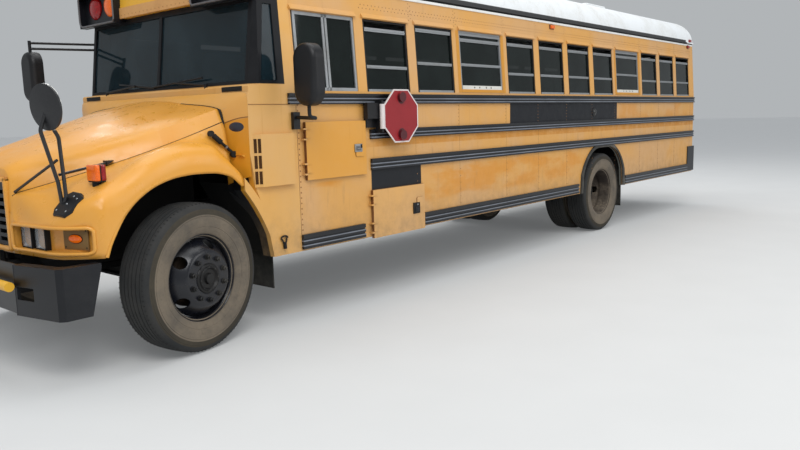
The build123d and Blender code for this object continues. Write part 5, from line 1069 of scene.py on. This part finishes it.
# Sign over the windshield, blank, with a riveted flange below; lamps beside it and small fittings
def add_coach_fittings():
    s = Batch("blank_sign")
    y = along(0.55)
    outline = [(y + d, z) for d, z in (
        (-0.056, 2.487), (-0.05, 2.483), (-0.046, 2.487), (-0.03, 2.487), (-0.002, 2.487), (0.02, 2.487),
        (0.02, 2.77), (-0.034, 2.76), (-0.04, 2.68), (-0.044, 2.6), (-0.047, 2.574), (-0.055, 2.572),
        (-0.057, 2.53))]
    xs = steps(-0.5597, 0.5597, 16)
    for i, edge in enumerate(zip(outline, outline[1:] + outline[:1])):
        s.grid([[(x, *p) for x in xs] for p in edge], "sign_yellow" if 1 < i < 10 else "flange_tan")
    for x in (xs[0], xs[-1]):
        s.lid([(x, *p) for p in outline], "sign_yellow")
    for x in steps(-0.53, 0.53, 18):
        s.rivet((x, y - 0.0565, 2.51), (0, -1, 0), 0.005, "rivet_brown")
    s.make("coach", "header_sign", slot="sign_yellow", doubles=True)

    # Rims of the lamp pods, and a ring that hangs from a snap low behind each front wheel
    p = Batch("front_trim")
    for side in SIDES:
        rim = ((0.59, 2.462), (1.12, 2.462), (1.156, 2.478), (1.166, 2.512), (1.166, 2.7), (1.15, 2.72),
               (0.59, 2.72), (0.572, 2.7), (0.572, 2.48))
        p.tube([(side * x, y - 0.108, z) for x, z in rim], 0.008, "pod_grey", closed=True)
        ring = [spot(side, 1.231, 0.695 + 0.034 * u * (1.0 if v > 0 else 0.6),
                     0.69 + 0.03 * v * (0.6 if v > 0 else 1.3)) for u, v in circle(1, 20)]
        p.tube(ring, 0.0065, "sash_black", closed=True)
        p.tube([spot(side, 1.231, 0.695, 0.655), spot(side, 1.233, 0.696, 0.61)], 0.014, "sash_black", 12)
        p.tube([spot(side, x, 0.695, 0.652) for x in (1.218, 1.236)], 0.01, "greasy_steel", 12)
    p.make("coach", slot="black_plastic")
    h = Batch("header_lenses")
    for side in SIDES:
        for x, look in ((0.96, "red_lens"), (0.7, "amber_lens")):
            h.disc((side * x, y - 0.0542, 2.61), (0, -1, 0), 0.094, 0.036, look, 36, 6)
    h.make("coach", slot="red_lens")

    # Latches of the small doors
    a = Batch("access_latch")
    a.block(1, (1.2475, 1.258), (1.478, 1.566), (1.304, 1.37), "window_aluminium")
    a.block(1, (1.2575, 1.26), (1.49, 1.548), (1.316, 1.352), "pod_grey", 0.002)
    a.block(1, (1.2575, 1.2605), (1.544, 1.563), (1.336, 1.366), "sash_black", 0.002)
    a.tube([spot(1, 1.2605, d, 1.33) for d in (1.498, 1.54)], 0.004, "window_aluminium")
    a.make("access_door", slot="window_aluminium")
    k = Batch("battery_latch")
    k.block(1, (1.2475, 1.258), (2.224, 2.318), (0.7, 0.802), "sash_black", 0.004)
    k.block(1, (1.2575, 1.262), (2.248, 2.296), (0.716, 0.764), "black_plastic")
    k.rivet(spot(1, 1.258, 2.284, 0.782), (1, 0, 0), 0.009, "window_aluminium", 10)
    k.make("battery_door", slot="black_plastic")


add_coach_fittings()


# Wheels: ribbed tyres and dished rims in place of the plain ones
STEER = math.radians(9.2)
# Half of the tyre's section: distance from its middle along the axle, and radius
TYRE = ((0.0, 0.5195), (0.012, 0.5195), (0.0125, 0.51), (0.0195, 0.51), (0.02, 0.5193), (0.049, 0.5185),
        (0.0495, 0.509), (0.0565, 0.509), (0.057, 0.518), (0.084, 0.5165), (0.0845, 0.5085),
        (0.0895, 0.5085), (0.09, 0.516), (0.101, 0.5145), (0.11, 0.5115), (0.118, 0.506), (0.125, 0.498),
        (0.13, 0.488), (0.1335, 0.476), (0.135, 0.469), (0.135, 0.4655), (0.1368, 0.464), (0.138, 0.454),
        (0.1388, 0.438), (0.139, 0.43), (0.1362, 0.4285), (0.136, 0.4255), (0.1384, 0.424),
        (0.1388, 0.405), (0.1375, 0.382), (0.1345, 0.358), (0.132, 0.356), (0.132, 0.353),
        (0.1332, 0.351), (0.13, 0.336), (0.1245, 0.32), (0.1195, 0.3105), (0.115, 0.3052), (0.108, 0.304),
        (0.106, 0.3), (0.1, 0.288))
BARREL = ((0.112, 0.3035), (0.113, 0.3), (0.109, 0.2965), (0.1, 0.2945), (0.088, 0.284), (0.06, 0.276),
          (0.02, 0.27), (-0.02, 0.262), (-0.06, 0.27), (-0.088, 0.284), (-0.1, 0.2945), (-0.112, 0.3035))
# Dished discs: radius, and how far out the disc lies there
FRONT_DISH = ((0.105, 0.163), (0.112, 0.165), (0.15, 0.165), (0.18, 0.1645), (0.191, 0.161),
              (0.202, 0.153), (0.218, 0.136), (0.236, 0.112), (0.254, 0.086), (0.268, 0.068),
              (0.274, 0.062))
REAR_DISH = ((0.105, -0.152), (0.112, -0.154), (0.15, -0.154), (0.18, -0.153), (0.191, -0.149),
             (0.202, -0.14), (0.218, -0.122), (0.236, -0.098), (0.254, -0.072), (0.268, -0.052),
             (0.274, -0.044))


def wheel_place(x, y, steer, side):
    """Local X points out of the wheel."""
    turn = Matrix.Rotation(steer + (math.pi if side < 0 else 0), 4, "Z")
    return Matrix.Translation((x, y, AXLE_Z)) @ turn


def add_tyre(batch, place):
    cuts = 96
    points = [(-a, r) for a, r in reversed(TYRE[1:])] + list(TYRE)
    looks = ["tyre_rubber" if r > 0.4762 else "shoulder_brown" if r > 0.4535 else "dusty_sidewall"
             for a, r in points]
    batch.lathe(points, looks, place, cuts)
    # Fine cuts across the shoulder ribs, drawn as thin dark strips of painted shade
    for k in range(cuts):
        turn = place @ Matrix.Rotation(2 * math.pi * (k + 0.5) / cuts, 4, "X")
        for x in (-0.1075, 0.1075):
            batch.box(x - 0.0065, x + 0.0065, -0.0016, 0.0016, 0.505, 0.5152, "groove_shade", 0.0003, turn, 1)


def add_rim(batch, place, dish, look, way=1):
    """A rim with a dished disc, five hand holes and ten nuts; the inner one of a pair has no nuts."""
    near, far, hole_r, hole_size, holes, around = 0.198, 0.2685, 0.235, 0.03, 5, 48
    bore, edge, nuts, nut_r = 0.105, 0.274, 10, 0.15
    batch.lathe(BARREL, look, place, 80)

    def at(r, angle):
        return (way * smooth(dish, r), r * math.cos(angle), r * math.sin(angle))

    rows = []
    for r in (0.09, 0.094, bore, 0.112, 0.128, 0.146, 0.16, 0.172, 0.18, 0.186, 0.192, near):
        depth = way * (smooth(dish, r) - max(0.0, bore - r) * 1.6)
        rows.append([(depth, *p) for p in circle(r, 80)])
    batch.loft(rows, look, place)
    for n in range(holes):
        middle = math.radians(72) + 2 * math.pi * n / holes
        rings = []
        for share in (0, 0.08, 0.35, 0.7, 1):
            ring = []
            for u, v in circle(1, around):
                reach = max(abs(u), abs(v))
                r = lerp(hole_r + hole_size * u, lerp(near, far, (u / reach + 1) / 2), share)
                turn = lerp(hole_size * 1.45 * v / hole_r, v / reach * math.pi / holes, share)
                ring.append(at(r, middle + turn))
            rings.append(ring)
        batch.loft(rings, look, place)
        batch.loft([rings[0], [(a - 0.012 * way, y, z) for a, y, z in rings[0]]], look, place)
    batch.lathe([(way * smooth(dish, r), r) for r in (far, edge)], look, place, 80)
    if way < 0:
        return
    for k in range(nuts):
        a = 2 * math.pi * (k + 0.5) / nuts
        nut = place @ Matrix.Translation(at(nut_r, a)) @ Matrix.Rotation(a, 4, "X")
        batch.lathe(((0.0, 0.0205), (0.005, 0.0205), (0.0055, 0.017)), "greasy_steel", nut, 12)
        for sides, profile in ((6, ((0.004, 0.0165), (0.022, 0.0165), (0.025, 0.013))),
                               (10, ((0.02, 0.0095), (0.034, 0.0095), (0.036, 0.007)))):
            rings = [[(x, *p) for p in circle(r, sides)] for x, r in profile]
            batch.loft(rings, "greasy_steel", nut)
            batch.lid(rings[-1], "greasy_steel", nut)


def add_studs(batch, place, depth, reach, radius):
    """A ring of eight small studs on a hub."""
    for p in circle(reach, 8):
        batch.rivet(place @ Vector((depth, *p)), place.to_3x3() @ Vector((1, 0, 0)), radius, "greasy_steel")


def add_wheels():
    kingpin_x, reach = 0.89, 0.226
    for word, side in (("left", 1), ("right", -1)):
        x = side * (kingpin_x + reach * math.cos(STEER))
        y = FRONT_AXLE_Y + side * reach * math.sin(STEER)
        place = wheel_place(x, y, STEER, side)
        tyre = Batch("front_%s_ribbed_tyre" % word)
        add_tyre(tyre, place)
        tyre.make("front_%s_wheel" % word, "front_%s_tyre" % word, angle=50, slot="tyre_rubber")
        rim = Batch("front_%s_dished_rim" % word)
        add_rim(rim, place, FRONT_DISH, "rim_black")
        # Hub with a small cap in the bore of the disc, and the brake drum behind
        rim.lathe([(0.165 + a, r) for a, r in (
            (-0.09, 0.104), (-0.003, 0.1045), (0.003, 0.1), (0.006, 0.086), (0.014, 0.083), (0.016, 0.077),
            (0.008, 0.071), (0.002, 0.066), (0.002, 0.04), (0.012, 0.036), (0.02, 0.033), (0.0215, 0.026),
            (0.022, 0.001))], "hub_black", place, 40)
        add_studs(rim, place, 0.18, 0.08, 0.006)
        rim.lathe(((-0.066, 0.15), (-0.066, 0.208), (-0.04, 0.212), (0.03, 0.208), (0.044, 0.196),
                   (0.05, 0.105)), "drum_brown", place, 56)
        rim.make("front_%s_wheel" % word, "front_%s_rim" % word, angle=32, slot="rim_black")
        tyres = Batch("rear_%s_ribbed_tyres" % word)
        rims = Batch("rear_%s_dished_rims" % word)
        for offset, way in ((1.062, 1), (0.73, -1)):
            place = wheel_place(side * offset, REAR_AXLE_Y, 0.0, side)
            add_tyre(tyres, place)
            add_rim(rims, place, REAR_DISH, "rim_dusty", way)
        place = wheel_place(side * 0.896, REAR_AXLE_Y, 0.0, side)
        rims.lathe(((0.01, 0.1045), (0.02, 0.112), (0.07, 0.108), (0.104, 0.104), (0.112, 0.096),
                    (0.112, 0.04), (0.106, 0.001)), "hub_black", place, 40)
        add_studs(rims, place, 0.112, 0.072, 0.009)
        rims.lathe(((-0.226, 0.09), (-0.226, 0.208), (-0.1, 0.212), (-0.04, 0.206), (-0.028, 0.105)),
                   "drum_brown", place, 56)
        tyres.make("rear_%s_wheels" % word, "rear_%s_tyres" % word, angle=50, slot="tyre_rubber")
        rims.make("rear_%s_wheels" % word, "rear_%s_rims" % word, angle=32, slot="rim_black")


add_wheels()


# Seats: padded and crowned, with piping and legs
BENCH_SEAT = ((-0.225, 1.462), (-0.246, 1.48), (-0.256, 1.52), (-0.252, 1.556), (-0.232, 1.58),
              (-0.19, 1.588), (-0.09, 1.586), (0.03, 1.58), (0.11, 1.566), (0.14, 1.54), (0.14, 1.49),
              (0.125, 1.464))
BENCH_BACK = ((0.15, 1.48), (0.158, 1.56), (0.17, 1.7), (0.186, 1.86), (0.203, 2.0), (0.212, 2.05),
              (0.226, 2.074), (0.25, 2.08), (0.272, 2.07), (0.282, 2.044), (0.282, 2.0), (0.272, 1.8),
              (0.252, 1.6), (0.236, 1.47), (0.21, 1.462), (0.165, 1.464))
CHAIR_SEAT = ((-0.25, 1.545), (-0.262, 1.59), (-0.25, 1.632), (-0.2, 1.648), (0.0, 1.636), (0.19, 1.64),
              (0.225, 1.61), (0.215, 1.548))
CHAIR_BACK = ((0.15, 1.61), (0.158, 1.8), (0.168, 2.05), (0.178, 2.23), (0.2, 2.268), (0.245, 2.268),
              (0.266, 2.22), (0.262, 1.9), (0.262, 1.61))
# How a pad narrows towards its end: share of its width, and size there
PAD_END = ((0.0, 0.8), (0.004, 0.9), (0.012, 0.955), (0.03, 0.985), (0.08, 1.0), (0.2, 1.0), (0.35, 1.0))


def add_pad(batch, outline, x0, x1, y, crown):
    middle_y, middle_z = [sum(values) / len(outline) for values in zip(*outline)]
    rows = []
    for t, size in PAD_END + ((0.5, 1.0),) + tuple((1 - t, size) for t, size in PAD_END[::-1]):
        swell = crown * (math.sin(math.pi * t) - 0.4)
        row = []
        for py, pz in outline:
            dy, dz = py - middle_y, pz - middle_z
            grow = size + swell / math.hypot(dy, dz)
            row.append((lerp(x0, x1, t), y + middle_y + dy * grow, middle_z + dz * grow))
        rows.append(row)
    batch.loft(rows, "seat_vinyl")
    for row in (rows[0], rows[-1]):
        batch.lid(row, "seat_vinyl")
    for row in (rows[2], rows[-3]):
        batch.tube(row, 0.0035, "seat_vinyl", 5, closed=True)


def add_seats():
    """Rows of bench seats, and the driver's chair."""
    b = Batch("bench_seats")
    for number in range(11):
        y = along(2.08) + 0.686 * number
        for side in SIDES:
            add_pad(b, BENCH_SEAT, side * 0.19, side * 1.15, y, 0.01)
            add_pad(b, BENCH_BACK, side * 0.19, side * 1.15, y, 0.008)
            for x in (0.23, 1.11):
                for dy in (-0.2, 0.17):
                    b.tube([(side * x, y + dy, z) for z in (1.151, 1.47)], 0.016, "black_paint")
                b.tube([(side * x, y + dy, 1.166) for dy in (-0.2, 0.17)], 0.014, "black_paint")
    chair = along(1.38)
    add_pad(b, CHAIR_SEAT, 0.325, 0.795, chair, 0.012)
    add_pad(b, CHAIR_BACK, 0.335, 0.785, chair, 0.012)
    b.tube([(0.56, chair, z) for z in (1.151, 1.18, 1.55)], 0.06, "black_paint", 16)
    b.tube([(0.56, chair, z) for z in (1.151, 1.172)], 0.108, "black_paint", 20)
    b.make("coach", "seats", angle=50, slot="seat_vinyl")


add_seats()


# Rounded edges on the bumpers
for name in ("front_bumper", "rear_bumper"):
    nodes[name].modifiers.new("join", "WELD").merge_threshold = 0.0002
    soft = nodes[name].modifiers.new("soft_edges", "BEVEL")
    soft.width = 0.01
    soft.segments = 3
    soft.angle_limit = math.radians(25)


# Floor and light
def add_stage():
    bpy.ops.mesh.primitive_plane_add(size=240, location=(0, 0, -0.001))
    floor = bpy.context.object
    floor.name = "floor"
    m = Shade("floor_pale", roughness=0.95)
    m.set(Base_Color=m.mix(m.noise(1.5, 4, 0.5), (186, 186, 184), (192, 192, 190)), Specular_IOR_Level=0.2,
          Emission_Color=(0.62, 0.64, 0.65, 1), Emission_Strength=0.16)
    floor.data.materials.append(m.material)
    world = scene.world = bpy.data.worlds.new("studio")
    world.use_nodes = True
    tree = world.node_tree
    tree.nodes.clear()
    soft = add_node(tree, "Background", {"Color": (0.88, 0.93, 1.0, 1), "Strength": 0.66})
    seen = add_node(tree, "Background", {"Color": (0.44, 0.46, 0.475, 1), "Strength": 1.0})
    rays = add_node(tree, "LightPath").outputs
    ways = rays["Is Camera Ray"]
    for name in ("Is Glossy Ray", "Is Transmission Ray"):
        ways = add_node(tree, "Math", {0: ways, 1: rays[name]}, operation="MAXIMUM").outputs[0]
    sky = add_node(tree, "MixShader", {0: ways, 1: soft.outputs[0], 2: seen.outputs[0]})
    add_node(tree, "OutputWorld", {"Surface": sky.outputs[0]})
    for name, place, size, power in (
        ("key", (9, -9, 11), 7, 1000), ("top", (0, 0, 14), 12, 900), ("rear", (-8, 9, 9), 8, 400),
        ("side", (13, 3, 6), 8, 420), ("crest", (-6.9, 0.2, 7.9), 4, 260),
    ):
        data = bpy.data.lights.new(name, "AREA")
        data.size = size
        data.energy = power
        light = bpy.data.objects.new(name, data)
        light.location = place
        light.rotation_euler = (Vector((0, 0, 1)) - Vector(place)).to_track_quat("-Z", "Y").to_euler()
        scene.collection.objects.link(light)


add_stage()

scene.view_settings.view_transform = "Standard"
